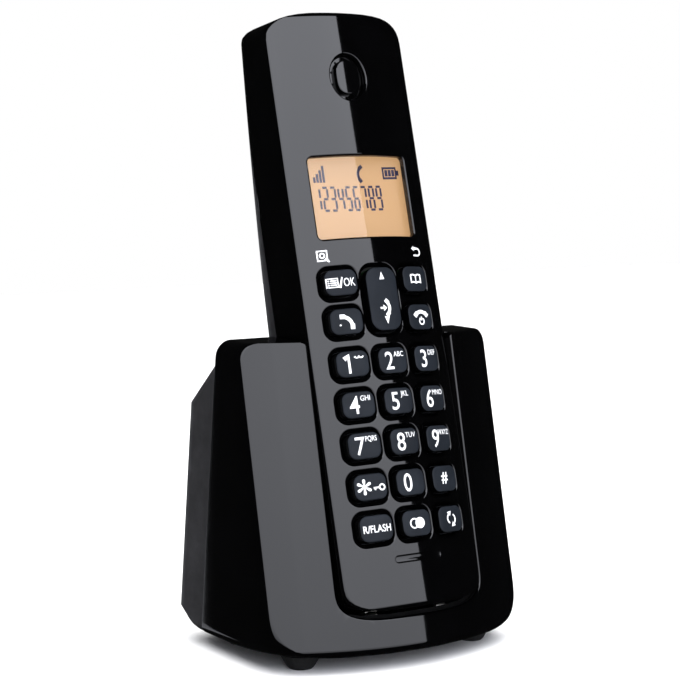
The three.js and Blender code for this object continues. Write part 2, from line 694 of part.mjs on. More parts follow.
// The power jack: a box with a round socket and its centre pin.
function powerJack() {
  const { x, half, front, back, z, height, bore, pin } = DC_JACK;
  const middle = z + GAP + height / 2;
  const body = box([x - half, front, z + GAP], [x + half, back, z + GAP + height]);
  const socket = discAlongY(bore, front + 3.5, back + 1, x, middle, 20);
  const centre = discAlongY(pin, front + 1, back - 1.5, x, middle, 10);
  return body.subtract(socket).add(centre);
}

// A rubber foot: wider where it meets the underside, with a peg that holds it in its hole.
function rubberFoot() {
  const { radius, flare, height, peg } = FOOT;
  const profile = [
    [0, 0],
    [radius - 0.6, 0],
    [radius, 0.6],
    [flare, height - GAP],
    [peg, height - GAP],
    [peg, height + BASE.wall + 0.6],
    [0, height + BASE.wall + 0.6],
  ].map(([x, y]) => new THREE.Vector2(x, y));
  return solidOf(new THREE.LatheGeometry(profile, 20).rotateX(Math.PI / 2));
}

// A charge contact of the base: a sprung tongue with a round tip and a foot under the pocket floor.
function baseContact(side) {
  const x = side * CONTACT.x;
  const shape = new THREE.Shape();
  shape.moveTo(-0.75, -3.9).lineTo(0.75, -3.9).lineTo(0.75, -0.75);
  shape.absarc(0, -0.75, 0.75, 0, Math.PI, false);
  const geometry = new THREE.ExtrudeGeometry(shape, { depth: 3, bevelEnabled: false, curveSegments: 6 });
  const upright = new THREE.Matrix4().makeBasis(
    new THREE.Vector3(0, 1, 0),
    new THREE.Vector3(0, 0, 1),
    new THREE.Vector3(1, 0, 0),
  );
  const tongue = solidOf(geometry.applyMatrix4(upright).translate(x - 1.5, CONTACT.y, 0));
  const foot = box([x - 2.6, CONTACT.y - 0.75, -3.9], [x + 2.6, CONTACT.y + 3, -3.1]);
  return leaned(tongue.add(foot));
}

// The page button in the pocket's back wall, with the rim that keeps it in.
function pageButton() {
  const face = backDepth(PAGE.z) + POCKET.gap;
  const behind = face + POCKET.wall + 1.9;
  const cap = discAlongY(PAGE.radius, face - 0.1, behind, 0, PAGE.z);
  const rim = discAlongY(PAGE.rim, behind - 0.9, behind, 0, PAGE.z);
  return leaned(cap.add(rim));
}

function pageSwitch() {
  const front = backDepth(PAGE.z) + POCKET.gap + POCKET.wall + 3.1;
  const body = box([-3, front, PAGE.z - 3], [3, front + 2.4, PAGE.z + 3]);
  const board = box([-9, front + 2.4, PAGE.z - 7], [9, front + 3.4, PAGE.z + 7]);
  return leaned(body.add(board));
}

// ---------------------------------------------------------------- assembly

const finishes = Object.fromEntries(
  Object.entries(MATERIALS).map(([slot, look]) => [slot, new THREE.MeshStandardMaterial(look)]),
);

// Adds one named piece to a group.
function place(group, name, solid, slot, position = [0, 0, 0]) {
  const mesh = new THREE.Mesh(geometryOf(solid), finishes[slot]);
  mesh.name = name;
  mesh.position.set(...position);
  group.add(mesh);
  return mesh;
}

function handsetGroup() {
  const group = new THREE.Group();
  group.position.set(0, SEAT.y, SEAT.z);
  group.rotation.x = -LEAN;
  place(group, "handset_front_case", handsetFrontCase(), "gloss_black");
  place(group, "handset_rear_case", handsetRearCase(), "matte_black");
  place(group, "battery_cover", batteryCover(), "matte_black");
  place(group, "display_window", displayWindow(), "display_clear");
  const { z, width, height } = DISPLAY;
  place(group, "display_panel", block(width + 2.4, height + 3, 0.6, 5.5, 6.7, 0, z), "display_amber");
  place(group, "display_backlight", block(width + 5, height + 5, 1, 7, 8.4, 0, z), "white_plastic");
  place(group, "handset_board", handsetBoard(), "board_green");
  place(group, "keypad_mat", keypadMat(), "silicone");
  place(group, "earpiece_grille", earpieceGrille(), "gloss_black");
  place(group, "earpiece_speaker", discAlongY(12, 5.2, 9.8, 0, EARPIECE.z), "speaker_dark");
  place(group, "microphone", discAlongY(2.2, 6.2, BOARD.front - GAP, 0, MICROPHONE.z, 16), "speaker_dark");
  const ringerFront = backDepth(RINGER.z) - HANDSET.wall - RINGER.thick - 1.4;
  const ringer = discAlongY(RINGER.radius, ringerFront, ringerFront + RINGER.thick, 0, RINGER.z);
  place(group, "ringer_speaker", ringer, "speaker_dark");
  place(group, "battery_cell_left", cell(), "cell_wrap", [-CELL.x, CELL.y, CELL.low]);
  const turned = cell().rotate([180, 0, 0]);
  place(group, "battery_cell_right", turned, "cell_wrap", [CELL.x, CELL.y, CELL.low + CELL.length]);
  place(group, "battery_contact_lower", cellContact(CELL.low - GAP - 0.5), "contact_metal");
  place(group, "battery_contact_upper", cellContact(CELL.low + CELL.length + GAP), "contact_metal");
  for (const [side, word] of [[-1, "left"], [1, "right"]]) {
    const { x, y, width: wide, depth, thick, lift } = CONTACT;
    const half = [wide / 2, depth / 2];
    const plate = box([-half[0], -half[1], lift], [half[0], half[1], lift + thick]);
    place(group, "handset_contact_" + word, plate, "contact_metal", [side * x, y, 0]);
    const driven = screw(6).scale([0.7, 0.7, 0.7]).rotate([90, 0, 0]);
    const seat = [side * 14.8, COVER.inner, TRAY.high - 4];
    place(group, "handset_screw_" + word, driven, "contact_metal", seat);
  }
  for (const key of KEYS) place(group, key.name, keySolid(key), "key_grey");
  return group;
}

function baseGroup() {
  const group = new THREE.Group();
  place(group, "base_front_shell", baseFrontShell(), "gloss_black");
  place(group, "base_rear_housing", baseRearHousing(), "matte_black");
  place(group, "cradle_liner", cradleLiner(), "gloss_black");
  place(group, "bottom_plate", bottomPlate(), "matte_black");
  place(group, "base_board", baseBoard(), "board_green");
  place(group, "line_jack", lineJack(), "speaker_dark");
  place(group, "power_jack", powerJack(), "speaker_dark");
  place(group, "base_contact_left", baseContact(-1), "contact_metal");
  place(group, "base_contact_right", baseContact(1), "contact_metal");
  place(group, "page_button", pageButton(), "key_grey");
  place(group, "page_switch", pageSwitch(), "speaker_dark");
  const corners = ["front_left", "front_right", "rear_left", "rear_right"];
  const foot = rubberFoot();
  footPlaces.forEach(([x, y], i) => place(group, "foot_" + corners[i], foot, "rubber_foot", [x, y, 0]));
  screwPlaces.forEach(([x, y], i) => {
    place(group, "base_screw_" + corners[i], screw(SCREW.length), "contact_metal", [x, y, BASE.floor - GAP]);
  });
  return group;
}

const telephone = new THREE.Group();
telephone.add(handsetGroup(), baseGroup());
export default telephone;
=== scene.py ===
"""A cordless telephone standing in its charging base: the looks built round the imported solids.

Lengths are in millimetres until a mesh is made; meshes are in metres, in the frame's axes.
Handset pieces are drawn in the handset's own frame: x across it, y from the crown line of its
face towards its back, and z up along its length. HANDSET takes them to where it leans.
"""

import json
import math

import bmesh
import bpy
from mathutils import Matrix, Vector


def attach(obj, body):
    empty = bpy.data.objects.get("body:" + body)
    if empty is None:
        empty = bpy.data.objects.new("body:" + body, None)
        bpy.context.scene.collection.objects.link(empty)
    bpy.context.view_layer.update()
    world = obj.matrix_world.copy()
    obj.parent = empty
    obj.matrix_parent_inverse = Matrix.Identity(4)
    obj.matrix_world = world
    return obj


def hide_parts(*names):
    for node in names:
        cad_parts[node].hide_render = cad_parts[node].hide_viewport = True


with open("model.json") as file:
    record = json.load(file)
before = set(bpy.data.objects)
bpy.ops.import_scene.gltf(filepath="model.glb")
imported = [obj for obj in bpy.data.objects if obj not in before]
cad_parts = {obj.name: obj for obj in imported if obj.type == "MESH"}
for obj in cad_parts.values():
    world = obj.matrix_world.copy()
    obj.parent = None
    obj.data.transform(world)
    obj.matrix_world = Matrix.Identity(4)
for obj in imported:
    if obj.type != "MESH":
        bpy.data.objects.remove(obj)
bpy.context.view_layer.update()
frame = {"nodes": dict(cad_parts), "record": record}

# ---------------------------------------------------------------- dimensions shared with the CAD model

LEAN = math.radians(15.1)
SEAT = (0, -33, 16.5)  # where the handset's own frame starts
LENGTH, HALF_WIDTH, FACE_RADIUS, EDGE = 160.5, 22, 52, 1.4
DEEPEST, DEPTH = 70, 29.6  # the height where the handset is deepest, and its depth there
END_REACH, END_POWER, BACK_REACH, BACK_EDGE = 9, 3.5, 5, 3.5
SPLIT, GAP = 19.5, 0.3
BASE_HEIGHT, BASE_HALF, BASE_RADIUS, BASE_FLOOR, BASE_WALL = 84.8, 40.25, 70, 4.2, 2.2
REAR_TOP, REAR_STEP, BEVEL_FROM = 79.5, 0.4, 66.5
BOTTOM_REACH, BOTTOM_POWER, BOTTOM_EDGE, CHIN = 12, 2.8, 2.5, 3
FACE_SLOPE, FACE_AT_FLOOR = math.tan(math.radians(12.3)), -33.44
COLUMN, ROW, FIRST_ROW = 11.8, 10.8, 64.7
CAP_RISE, KEY_GAP = 1.4, 0.35
DISPLAY_Z, DISPLAY_WIDTH, DISPLAY_HEIGHT, DISPLAY_RADIUS = 109.6, 30.6, 22.2, 1.3
EARPIECE_Z, EARPIECE_SIZE = 142.3, (11.8, 13.4)
MICROPHONE_Z, MICROPHONE_SIZE = 12.8, (14.3, 1.9)
COVER_HALF, COVER_HIGH, COVER_INNER = 16.5, 76, 20.8
RINGER_Z = 104
DISPLAY_LEVEL = 5.5  # where the lit panel lies behind the crown line
CASE_WALL, COVER_WALL = 1.8, 1.5

# Dimensions of the visible pieces alone.
TOP_CORNER = 4.4  # the radius of the base's upper corners
SLOT_GAP, SLOT_LOW, SLOT_RIM, SLOT_FLARE, SLOT_SHOULDER = 0.9, -1.9, 0.7, 1.6, 72.1
SLOT_REACH, OUTSIDE = 29, -30  # how far the slot's cutter runs behind and before the crown line
EARPIECE_PAD, PAD_DEPTH, PAD_STEPS = (7.4, 9.4), 0.12, 64
BEFORE, INSIDE, BEHIND = -12, 7, 60  # levels before the handset, inside it and behind everything
TAU = 2 * math.pi

TO_METRES = Matrix.Diagonal((0.001, 0.001, 0.001, 1))
HANDSET = TO_METRES @ Matrix.Translation(SEAT) @ Matrix.Rotation(-LEAN, 4, "X")

# ---------------------------------------------------------------- materials


def node(tree, kind, inputs=None, **settings):
    """A shader node with its settings and the values or links of its inputs."""
    made = tree.nodes.new(kind)
    for name, value in settings.items():
        setattr(made, name, value)
    for name, value in (inputs or {}).items():
        if isinstance(value, bpy.types.NodeSocket):
            tree.links.new(value, made.inputs[name])
        else:
            made.inputs[name].default_value = value
    return made


def noise(tree, scale, detail=3, roughness=0.5):
    """Noise fixed to the piece, with scale in lumps per metre."""
    where = node(tree, "ShaderNodeTexCoord").outputs["Object"]
    values = {"Vector": where, "Scale": scale, "Detail": detail, "Roughness": roughness}
    return node(tree, "ShaderNodeTexNoise", values).outputs["Fac"]


def ramp(tree, factor, low, high):
    """A value or colour that goes from low to high over the middle of the noise's range."""
    made = node(tree, "ShaderNodeValToRGB", {"Fac": factor})
    for stop, place, value in zip(made.color_ramp.elements, (0.3, 0.7), (low, high)):
        colour = value if isinstance(value, tuple) else (value, value, value)
        stop.position = place
        stop.color = (*colour, 1)
    return made.outputs["Color"]


def plastic(name, colour, rough, grain, bump, spread=0.25, **sockets):
    """Moulded plastic: its colour varies by the spread, and its roughness within a range, over a
    fine moulded grain. The bump is the grain's height in metres."""
    material = bpy.data.materials.new(name)
    material.use_nodes = True
    tree = material.node_tree
    shader = tree.nodes["Principled BSDF"]
    dark = tuple(c * (1 - spread) for c in colour)
    light = tuple(c * (1 + spread) for c in colour)
    tree.links.new(ramp(tree, noise(tree, 90), dark, light), shader.inputs["Base Color"])
    tree.links.new(ramp(tree, noise(tree, 160, 6, 0.7), *rough), shader.inputs["Roughness"])
    values = {"Strength": 1.0, "Distance": bump, "Height": noise(tree, grain, 2)}
    tree.links.new(node(tree, "ShaderNodeBump", values).outputs["Normal"], shader.inputs["Normal"])
    for socket, value in sockets.items():
        shader.inputs[socket.replace("_", " ")].default_value = value
    return material


def glow(name, colour, light):
    """A lit panel: a diffuser with slightly uneven backlight."""
    made = plastic(name, colour, (0.35, 0.5), 3000, 1e-6, 0.03)
    tree = made.node_tree
    shader = tree.nodes["Principled BSDF"]
    dim = tuple(c * 0.97 for c in light)
    tree.links.new(ramp(tree, noise(tree, 40), dim, light), shader.inputs["Emission Color"])
    shader.inputs["Emission Strength"].default_value = 1.0
    return made


def window(name):
    """A clear window: what is behind it shows, and its outer side reflects more at a slant."""
    material = bpy.data.materials.new(name)
    material.use_nodes = True
    tree = material.node_tree
    tree.nodes.remove(tree.nodes["Principled BSDF"])
    clear = node(tree, "ShaderNodeBsdfTransparent", {"Color": (0.97, 0.965, 0.96, 1)})
    rough = ramp(tree, noise(tree, 200), 0.02, 0.05)
    shine = node(tree, "ShaderNodeBsdfGlossy", {"Color": (1, 1, 1, 1), "Roughness": rough})
    angle = node(tree, "ShaderNodeFresnel", {"IOR": 1.45}).outputs["Fac"]
    inside = node(tree, "ShaderNodeNewGeometry").outputs["Backfacing"]
    values = {"Value": inside, "To Min": angle, "To Max": 0.0}
    share = node(tree, "ShaderNodeMapRange", values).outputs["Result"]
    mix = node(tree, "ShaderNodeMixShader", {0: share, 1: clear.outputs[0], 2: shine.outputs[0]})
    tree.links.new(mix.outputs[0], tree.nodes["Material Output"].inputs["Surface"])
    return material


def metal(name, colour, rough):
    """Plated metal with a fine grain."""
    return plastic(name, colour, rough, 2500, 3e-6, 0.06, Metallic=1.0)


DULL_KEY = {"Specular_IOR_Level": 0.11}
DULL_POCKET = {"Specular_IOR_Level": 0.15}
MATERIALS = {
    "gloss_black": plastic("gloss_black", (0.0005, 0.0005, 0.0006), (0.035, 0.06), 900, 4e-8),
    "matte_black": plastic("matte_black", (0.013, 0.0125, 0.014), (0.42, 0.6), 3500, 1.2e-5),
    "key_grey": plastic("key_grey", (0.009, 0.011, 0.0145), (0.4, 0.55), 4500, 5e-6, **DULL_KEY),
    "display_clear": window("display_clear"),
    "display_amber": glow("display_amber", (0.15, 0.09, 0.045), (0.53, 0.32, 0.155)),
    "white_plastic": plastic("white_plastic", (0.8, 0.8, 0.77), (0.4, 0.55), 2500, 4e-6, 0.05),
    "board_green": plastic("board_green", (0.02, 0.12, 0.04), (0.25, 0.45), 1200, 1e-5),
    "silicone": plastic("silicone", (0.05, 0.055, 0.06), (0.7, 0.85), 2500, 8e-6),
    "speaker_dark": plastic("speaker_dark", (0.02, 0.02, 0.021), (0.4, 0.55), 2500, 6e-6),
    "cell_wrap": plastic("cell_wrap", (0.08, 0.25, 0.05), (0.2, 0.35), 1200, 4e-6),
    "contact_metal": metal("contact_metal", (0.62, 0.6, 0.55), (0.22, 0.38)),
    "rubber_foot": plastic("rubber_foot", (0.008, 0.008, 0.008), (0.65, 0.85), 3500, 1.5e-5),
}
# A near-black matte for the handset's slot and pocket: painted shade, darker than the housing's own matte
# black.
SHADED_POCKET_BLACK = plastic("pocket_painted_shade", (0.0012, 0.0012, 0.0013), (0.7, 0.85), 2500, 1e-5, **DULL_POCKET)
WHITE_PRINT = plastic("white_print", (0.78, 0.79, 0.8), (0.45, 0.6), 3000, 3e-6, 0.04)
NAVY_PRINT = plastic("navy_print", (0.018, 0.016, 0.05), (0.35, 0.5), 3000, 2e-6, 0.1)

# ---------------------------------------------------------------- meshes


def object_from(name, data):
    """An object of the scene, made from a mesh, curve, lamp or camera."""
    made = bpy.data.objects.new(name, data)
    bpy.context.scene.collection.objects.link(made)
    return made


def piece(name, points, faces, body, slot, nodes, angle=35):
    """A finished piece drawn in the handset's frame."""
    mesh = bpy.data.meshes.new(name)
    mesh.from_pydata([tuple(HANDSET @ Vector(p)) for p in points], [], faces)
    made = object_from(name, mesh)
    finish_piece(made, body, slot, nodes, angle=angle)
    return made


def finish_piece(made, body, slot=None, nodes=(), material=None, angle=35):
    """Gives a piece its material and smooth shading up to an angle in degrees, and says which body
    it rides on, which material slot it takes its finish from and which CAD nodes it stands for."""
    made.data.materials.clear()
    made.data.materials.append(material or MATERIALS[slot])
    made.data.shade_smooth()
    made.data.set_sharp_from_angle(angle=math.radians(angle))
    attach(made, body)
    if nodes:
        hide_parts(*nodes)


def closed_loft(rings):
    """Points and faces of a body through rings of equally many points, closed at both ends."""
    count = len(rings[0])
    points = [p for ring in rings for p in ring]
    faces = []
    for r in range(len(rings) - 1):
        a, b = r * count, (r + 1) * count
        faces += [(a + i, a + (i + 1) % count, b + (i + 1) % count, b + i) for i in range(count)]
    last = len(points) - count
    faces.append(tuple(range(count))[::-1])
    faces.append(tuple(range(last, last + count)))
    return points, faces


def scratch(name, points, faces, place=HANDSET):
    """A mesh object that is only used to build others."""
    mesh = bpy.data.meshes.new(name)
    mesh.from_pydata([tuple(place @ Vector(p)) for p in points], [], faces)
    work = bmesh.new()
    work.from_mesh(mesh)
    bmesh.ops.recalc_face_normals(work, faces=work.faces)
    work.to_mesh(mesh)
    work.free()
    return object_from(name, mesh)


def block(low, high, place=HANDSET):
    """A box between two corners, for cutting."""
    (x0, y0, z0), (x1, y1, z1) = low, high
    corners = [(x, y, z) for z in (z0, z1) for y in (y0, y1) for x in (x0, x1)]
    faces = [(0, 2, 3, 1), (4, 5, 7, 6), (0, 1, 5, 4), (2, 6, 7, 3), (0, 4, 6, 2), (1, 3, 7, 5)]
    return scratch("cutter", corners, faces, place)


def combine(target, tools, operation="DIFFERENCE"):
    """The target after a boolean with each tool; the tools are used up."""
    for tool in tools:
        change = target.modifiers.new("cut", "BOOLEAN")
        change.operation = operation
        change.solver = "MANIFOLD"
        change.object = tool
        evaluated = target.evaluated_get(bpy.context.evaluated_depsgraph_get())
        mesh = bpy.data.meshes.new_from_object(evaluated)
        target.modifiers.clear()
        old, target.data = target.data, mesh
        bpy.data.meshes.remove(old)
        bpy.data.objects.remove(tool)
    return target


def round_outline(width, height, radius, across=10, along=6):
    """The outline of a rectangle with round corners, counter-clockwise from its lower right. Its
    level sides have across spans and its upright sides have along spans."""
    corner = 8
    hx, hz = width / 2 - radius, height / 2 - radius
    points = []
    for turn, (cx, cz) in enumerate([(hx, -hz), (hx, hz), (-hx, hz), (-hx, -hz)]):
        start = (turn - 1) * math.pi / 2
        for step in range(corner + 1):
            a = start + math.pi / 2 * step / corner
            points.append((cx + radius * math.cos(a), cz + radius * math.sin(a)))
        ends = [(hx, -hz), (hx, hz), (-hx, hz), (-hx, -hz), (hx, -hz)]
        (ax, az), (bx, bz) = ends[turn], ends[turn + 1]
        nx, nz = math.cos(start + math.pi / 2) * radius, math.sin(start + math.pi / 2) * radius
        spans = along if turn % 2 == 0 else across
        for step in range(1, spans):
            t = step / spans
            points.append((ax + nx + (bx - ax) * t, az + nz + (bz - az) * t))
    return points


def oval_outline(width, height, steps=56):
    """The outline of an ellipse, counter-clockwise."""
    turns = [TAU * i / steps for i in range(steps)]
    return [(width / 2 * math.cos(a), height / 2 * math.sin(a)) for a in turns]


def crown(x):
    """How far the handset's face lies behind its crown line."""
    return x * x / (2 * FACE_RADIUS)


def on_face(x, z, rings):
    """Rings on the handset's face. Each has an outline and a depth below the crowned face, and a
    flat ring has its level behind the crown line as a third value, which is used instead."""
    made = []
    for outline, depth, *level in rings:
        made.append([(x + u, level[0] if level else crown(x + u) + depth, z + v) for u, v in outline])
    return made


# ---------------------------------------------------------------- the handset's form


def round_loss(radius, start):
    """How far a rounded edge has drawn back at a distance from where the rounding starts."""
    return radius - math.sqrt(radius**2 - (radius - start) ** 2) if start < radius else 0


def end_share(start, reach, power):
    """The share of its full width that a squared round end has at a distance from its tip."""
    return (1 - (1 - start / reach) ** power) ** (1 / power) if start < reach else 1


def back_depth(z):
    """How deep the handset's back lies behind the face crown at height z."""
    below = max(0, (DEEPEST - z) / DEEPEST)
    above = max(0, (z - DEEPEST) / (LENGTH - DEEPEST))
    return DEPTH - 7 * below**2 - 7.5 * above**1.45


def mirrored(right, z):
    """A level ring from its right half, listed from the front's middle to the back's."""
    return [(x, y, z) for x, y in right] + [(-x, y, z) for x, y in reversed(right)]


def handset_ring(z, grow):
    """The handset's outline at a height, grown outwards all round."""
    start = min(z + grow, LENGTH + grow - z)
    half = (HALF_WIDTH + grow) * end_share(start, END_REACH + grow, END_POWER)
    rounding = EDGE + grow / 2
    edge = min(rounding, half * 0.7)
    drop = round_loss(rounding, start) - grow
    back = back_depth(z) + grow - round_loss(BACK_EDGE + grow, start)
    slope = math.atan((half - edge) / FACE_RADIUS)
    front_x = half - edge + edge * math.sin(slope)
    edge_y = crown(front_x) + drop + edge * math.cos(slope)
    back_half = (HALF_WIDTH + grow) * end_share(start, BACK_REACH + grow, END_POWER)
    corner_x = min(9 + grow, half * 0.6)
    corner_y = min(8, back - edge_y - 0.5)
    right = []
    for i in range(20):
        x = front_x * (2 * i + 1) / 40
        right.append((x, crown(x) + drop))
    for i in range(9):
        angle = slope + (math.pi / 2 - slope) * i / 8
        right.append((half - edge + edge * math.sin(angle), edge_y - edge * math.cos(angle)))
    for i in range(13):
        angle = math.pi / 2 * i / 12
        x = back_half - corner_x + corner_x * math.cos(angle)
        right.append((x, back - corner_y + corner_y * math.sin(angle)))
    for i in range(1, 6):
        right.append(((back_half - corner_x) * (1 - i / 5.5), back))
    return mirrored(right, z)


def handset_form(grow):
    """The handset's whole form, grown outwards; levels are closer together near its ends."""
    near = [0.03, 0.15, 0.4, 0.8, 1.3, 2, 2.9, 4, 5.3, 7]
    low, high = -grow, LENGTH + grow
    middle = [low + 9 + i * (high - low - 18) / 60 for i in range(61)]
    levels = [low + e for e in near] + middle + [high - e for e in reversed(near)]
    return closed_loft([handset_ring(z, grow) for z in levels])


def half_space(level, behind):
    """A large block behind a level of the handset's depth, or in front of it."""
    large = 300
    low, high = (level, large) if behind else (-large, level)
    return block((-large, low, -large), (large, high, large))


def face_normals(made, place, height, gradient):
    """Gives the plain front of a cut body its exact normals, so that cuts don't dent its shine.
    height(x, z) is where the face lies, and gradient(x, z) how it slopes along x and z."""
    near, parallel = 0.004, 0.9995
    mesh = made.data
    back = place.inverted()
    turn = (place.to_3x3() * 1000).normalized()
    normals = [n.vector.copy() for n in mesh.corner_normals]
    exact = {}
    for v in mesh.vertices:
        x, y, z = back @ v.co
        if abs(y - height(x, z)) < near:
            dx, dz = gradient(x, z)
            exact[v.index] = (turn @ Vector((dx, -1, dz))).normalized()
    for polygon in mesh.polygons:
        for i in polygon.loop_indices:
            plain = exact.get(mesh.loops[i].vertex_index)
            if plain and polygon.normal.dot(plain) > parallel:
                normals[i] = plain
    mesh.normals_split_custom_set(normals)


def open_end(outline, depth):
    """The two rings that carry a cutter from in front of the face down to a depth."""
    return [(outline, 0, BEFORE), (outline, depth)]


# ---------------------------------------------------------------- keys and their wells


def key_plan():
    """Every key with the column and height of its centre."""
    upper, talk = FIRST_ROW + 2 * ROW + 0.1, FIRST_ROW + ROW + 0.5
    plan = {
        "key_menu": (-COLUMN, upper),
        "key_phonebook": (COLUMN, upper),
        "key_talk": (-COLUMN, talk),
        "key_power": (COLUMN, talk),
        "key_navigator": (0, 81.3),
    }
    rows = [
        ["key_1", "key_2", "key_3"],
        ["key_4", "key_5", "key_6"],
        ["key_7", "key_8", "key_9"],
        ["key_star", "key_0", "key_hash"],
        ["key_recall", "key_conference", "key_redial"],
    ]
    for r, names in enumerate(rows):
        for c, name in enumerate(names):
            plan[name] = ((c - 1) * COLUMN, FIRST_ROW - r * ROW)
    return plan


KEYS = key_plan()
CAP, WELL = (8.9, 6.9, 2.2), (11.5, 9.7, 3.2)
LONG_CAP, LONG_WELL = (9.6, 17, 3.2), (12.2, 20, 4.4)
DOME_REACH, DOME_RISE = 2.6, 0.16


def inset(size, by):
    """A round outline's width, height and radius, moved inwards."""
    width, height, radius = size
    return width - 2 * by, height - 2 * by, max(radius - by, 0.25)


def between(outer, inner, t):
    """The values a share of the way from one tuple to another."""
    return tuple(a + (b - a) * t for a, b in zip(outer, inner))


def well_cutter(name):
    """The dished well of a key, with a rounded rim, and the hole at its bottom."""
    long = name == "key_navigator"
    cap, well = (LONG_CAP, LONG_WELL) if long else (CAP, WELL)
    gap = KEY_GAP + 0.2 if long else KEY_GAP
    hole = inset(cap, -gap)
    rings = open_end(round_outline(*inset(well, -0.6)), -0.12)
    dish = [(-0.2, 0), (0, 0.07), (0.17, 0.2), (0.38, 0.44), (0.6, 0.72), (0.82, 0.96), (1, 1.1)]
    rings += [(round_outline(*between(well, hole, share)), depth) for share, depth in dish]
    rings += [(round_outline(*hole), 1.35), (round_outline(*hole), 0, INSIDE)]
    return scratch("cutter", *closed_loft(on_face(*KEYS[name], rings)))


def cap_depth(size, u, v):
    """How deep a key's top lies below the face at a point of it; negative above the face."""
    width, height, radius = size
    du, dv = abs(u) - width / 2 + radius, abs(v) - height / 2 + radius
    outside = math.hypot(max(du, 0), max(dv, 0)) + min(max(du, dv), 0) - radius
    away = min(-outside, DOME_REACH)
    fillet = 0.4
    rounding = fillet - math.sqrt(max(0, fillet**2 - (fillet - away) ** 2)) if away < fillet else 0
    return -CAP_RISE + rounding - DOME_RISE * (1 - (1 - away / DOME_REACH) ** 2)


def key_cap(name):
    """A key's cap. Its top is slightly domed and grey, and its sides are gloss black up to where
    they turn into the top, as painted shade that stands in for the shade on its sides."""
    size = LONG_CAP if name == "key_navigator" else CAP
    outline = round_outline(*size)
    rings = [(outline, 3.1), (outline, 1.0), (outline, cap_depth(size, size[0] / 2 - 0.001, 0))]
    for by in (0.02, 0.08, 0.18, 0.32, 0.5, 0.75, 1.1, 1.6, 2.2, DOME_REACH):
        rings.append((round_outline(*inset(size, by)), cap_depth(size, size[0] / 2 - by, 0)))
    points, faces = closed_loft(on_face(*KEYS[name], rings))
    cap = piece(name + "_cap", points, faces, name, "key_grey", [name], angle=50)
    # The gloss black on the cap's side bands is painted shade: it darkens the sides where shade falls.
    cap.data.materials.append(MATERIALS["gloss_black"])
    shaded_side_bands = 4
    for polygon in cap.data.polygons[:shaded_side_bands * len(outline)]:
        polygon.material_index = 1


# ---------------------------------------------------------------- flat printed drawings


def stroke(points, width, closed=False):
    """A line of even width as four-sided polygons."""
    count = len(points)
    sides = []
    for i, (x, z) in enumerate(points):
        before = points[i - 1] if i or closed else points[i]
        after = points[(i + 1) % count] if i + 1 < count or closed else points[i]
        a = Vector((x - before[0], z - before[1]))
        b = Vector((after[0] - x, after[1] - z))
        a, b = (a or b).normalized(), (b or a).normalized()
        along = (a + b).normalized()
        reach = width / 2 / max(0.5, along.dot(a))
        across = Vector((-along.y, along.x)) * reach
        sides.append(((x + across.x, z + across.y), (x - across.x, z - across.y)))
    spans = range(count if closed else count - 1)
    return [[sides[i][1], sides[(i + 1) % count][1], sides[(i + 1) % count][0], sides[i][0]] for i in spans]


def arc(x, z, radius, start, end, steps):
    """Points on a circle, between angles in degrees."""
    angles = [math.radians(start + (end - start) * i / steps) for i in range(steps + 1)]
    return [(x + radius * math.cos(a), z + radius * math.sin(a)) for a in angles]


def disc(x, z, radius, steps):
    """A filled circle as one polygon."""
    return [arc(x, z, radius, 0, 360 * (steps - 1) / steps, steps - 1)]


def ring_line(x, z, radius, width):
    """A circle drawn as a line."""
    steps = 16
    return stroke(arc(x, z, radius, 0, 360 * (steps - 1) / steps, steps - 1), width, True)


def bar(x0, z0, x1, z1):
    """A filled rectangle between two corners."""
    return [[(x0, z0), (x1, z0), (x1, z1), (x0, z1)]]


def moved(drawing, x, z, turn=0):
    """A drawing turned by degrees and moved."""
    c, s = math.cos(math.radians(turn)), math.sin(math.radians(turn))
    return [[(x + u * c - v * s, z + u * s + v * c) for u, v in polygon] for polygon in drawing]


def lettering(text, height, x, z, stretch, bold=0.0):
    """Characters as polygons, centred on a point, with capitals of a given height."""
    capital = 0.73
    curve = bpy.data.curves.new("lettering", "FONT")
    curve.body = text
    curve.resolution_u = 4
    curve.offset = bold
    made = object_from("lettering", curve)
    mesh = bpy.data.meshes.new_from_object(made.evaluated_get(bpy.context.evaluated_depsgraph_get()))
    points = [(v.co.x, v.co.y) for v in mesh.vertices]
    middle = [(min(p[i] for p in points) + max(p[i] for p in points)) / 2 for i in (0, 1)]
    size = height / capital
    placed = [(x + (u - middle[0]) * size * stretch, z + (v - middle[1]) * size) for u, v in points]
    drawing = [[placed[i] for i in polygon.vertices] for polygon in mesh.polygons]
    bpy.data.objects.remove(made)
    bpy.data.curves.remove(curve)
    bpy.data.meshes.remove(mesh)
    return drawing


def print_on(name, drawing, surface, body, material=None, lift=0.03, sink=0.08):
    """A drawing as a thin layer of print: it stands proud of surface(u, v) by lift, and its
    underside is sunk into the surface."""
    longest = 0.9
    work = bmesh.new()
    for polygon in drawing:
        area = sum(a[0] * b[1] - b[0] * a[1] for a, b in zip(polygon, polygon[1:] + polygon[:1]))
        ordered = polygon if area > 0 else polygon[::-1]
        work.faces.new([work.verts.new((u, v, 0)) for u, v in ordered])
    bmesh.ops.remove_doubles(work, verts=work.verts, dist=0.002)
    long = [e for e in work.edges if e.calc_length() > longest]
    bmesh.ops.subdivide_edges(work, edges=long, cuts=2, use_grid_fill=True)
    bmesh.ops.triangulate(work, faces=[f for f in work.faces if len(f.verts) > 4])
    grown = bmesh.ops.extrude_face_region(work, geom=list(work.faces), use_keep_orig=True)["geom"]
    raised = {v for v in grown if isinstance(v, bmesh.types.BMVert)}
    for v in work.verts:
        x, y, z = surface(v.co.x, v.co.y)
        v.co = HANDSET @ Vector((x, y - lift + (0 if v in raised else sink), z))
    bmesh.ops.recalc_face_normals(work, faces=work.faces)
    mesh = bpy.data.meshes.new(name)
    work.to_mesh(mesh)
    work.free()
    finish_piece(object_from(name, mesh), body, material=material or WHITE_PRINT)


# ---------------------------------------------------------------- the handset


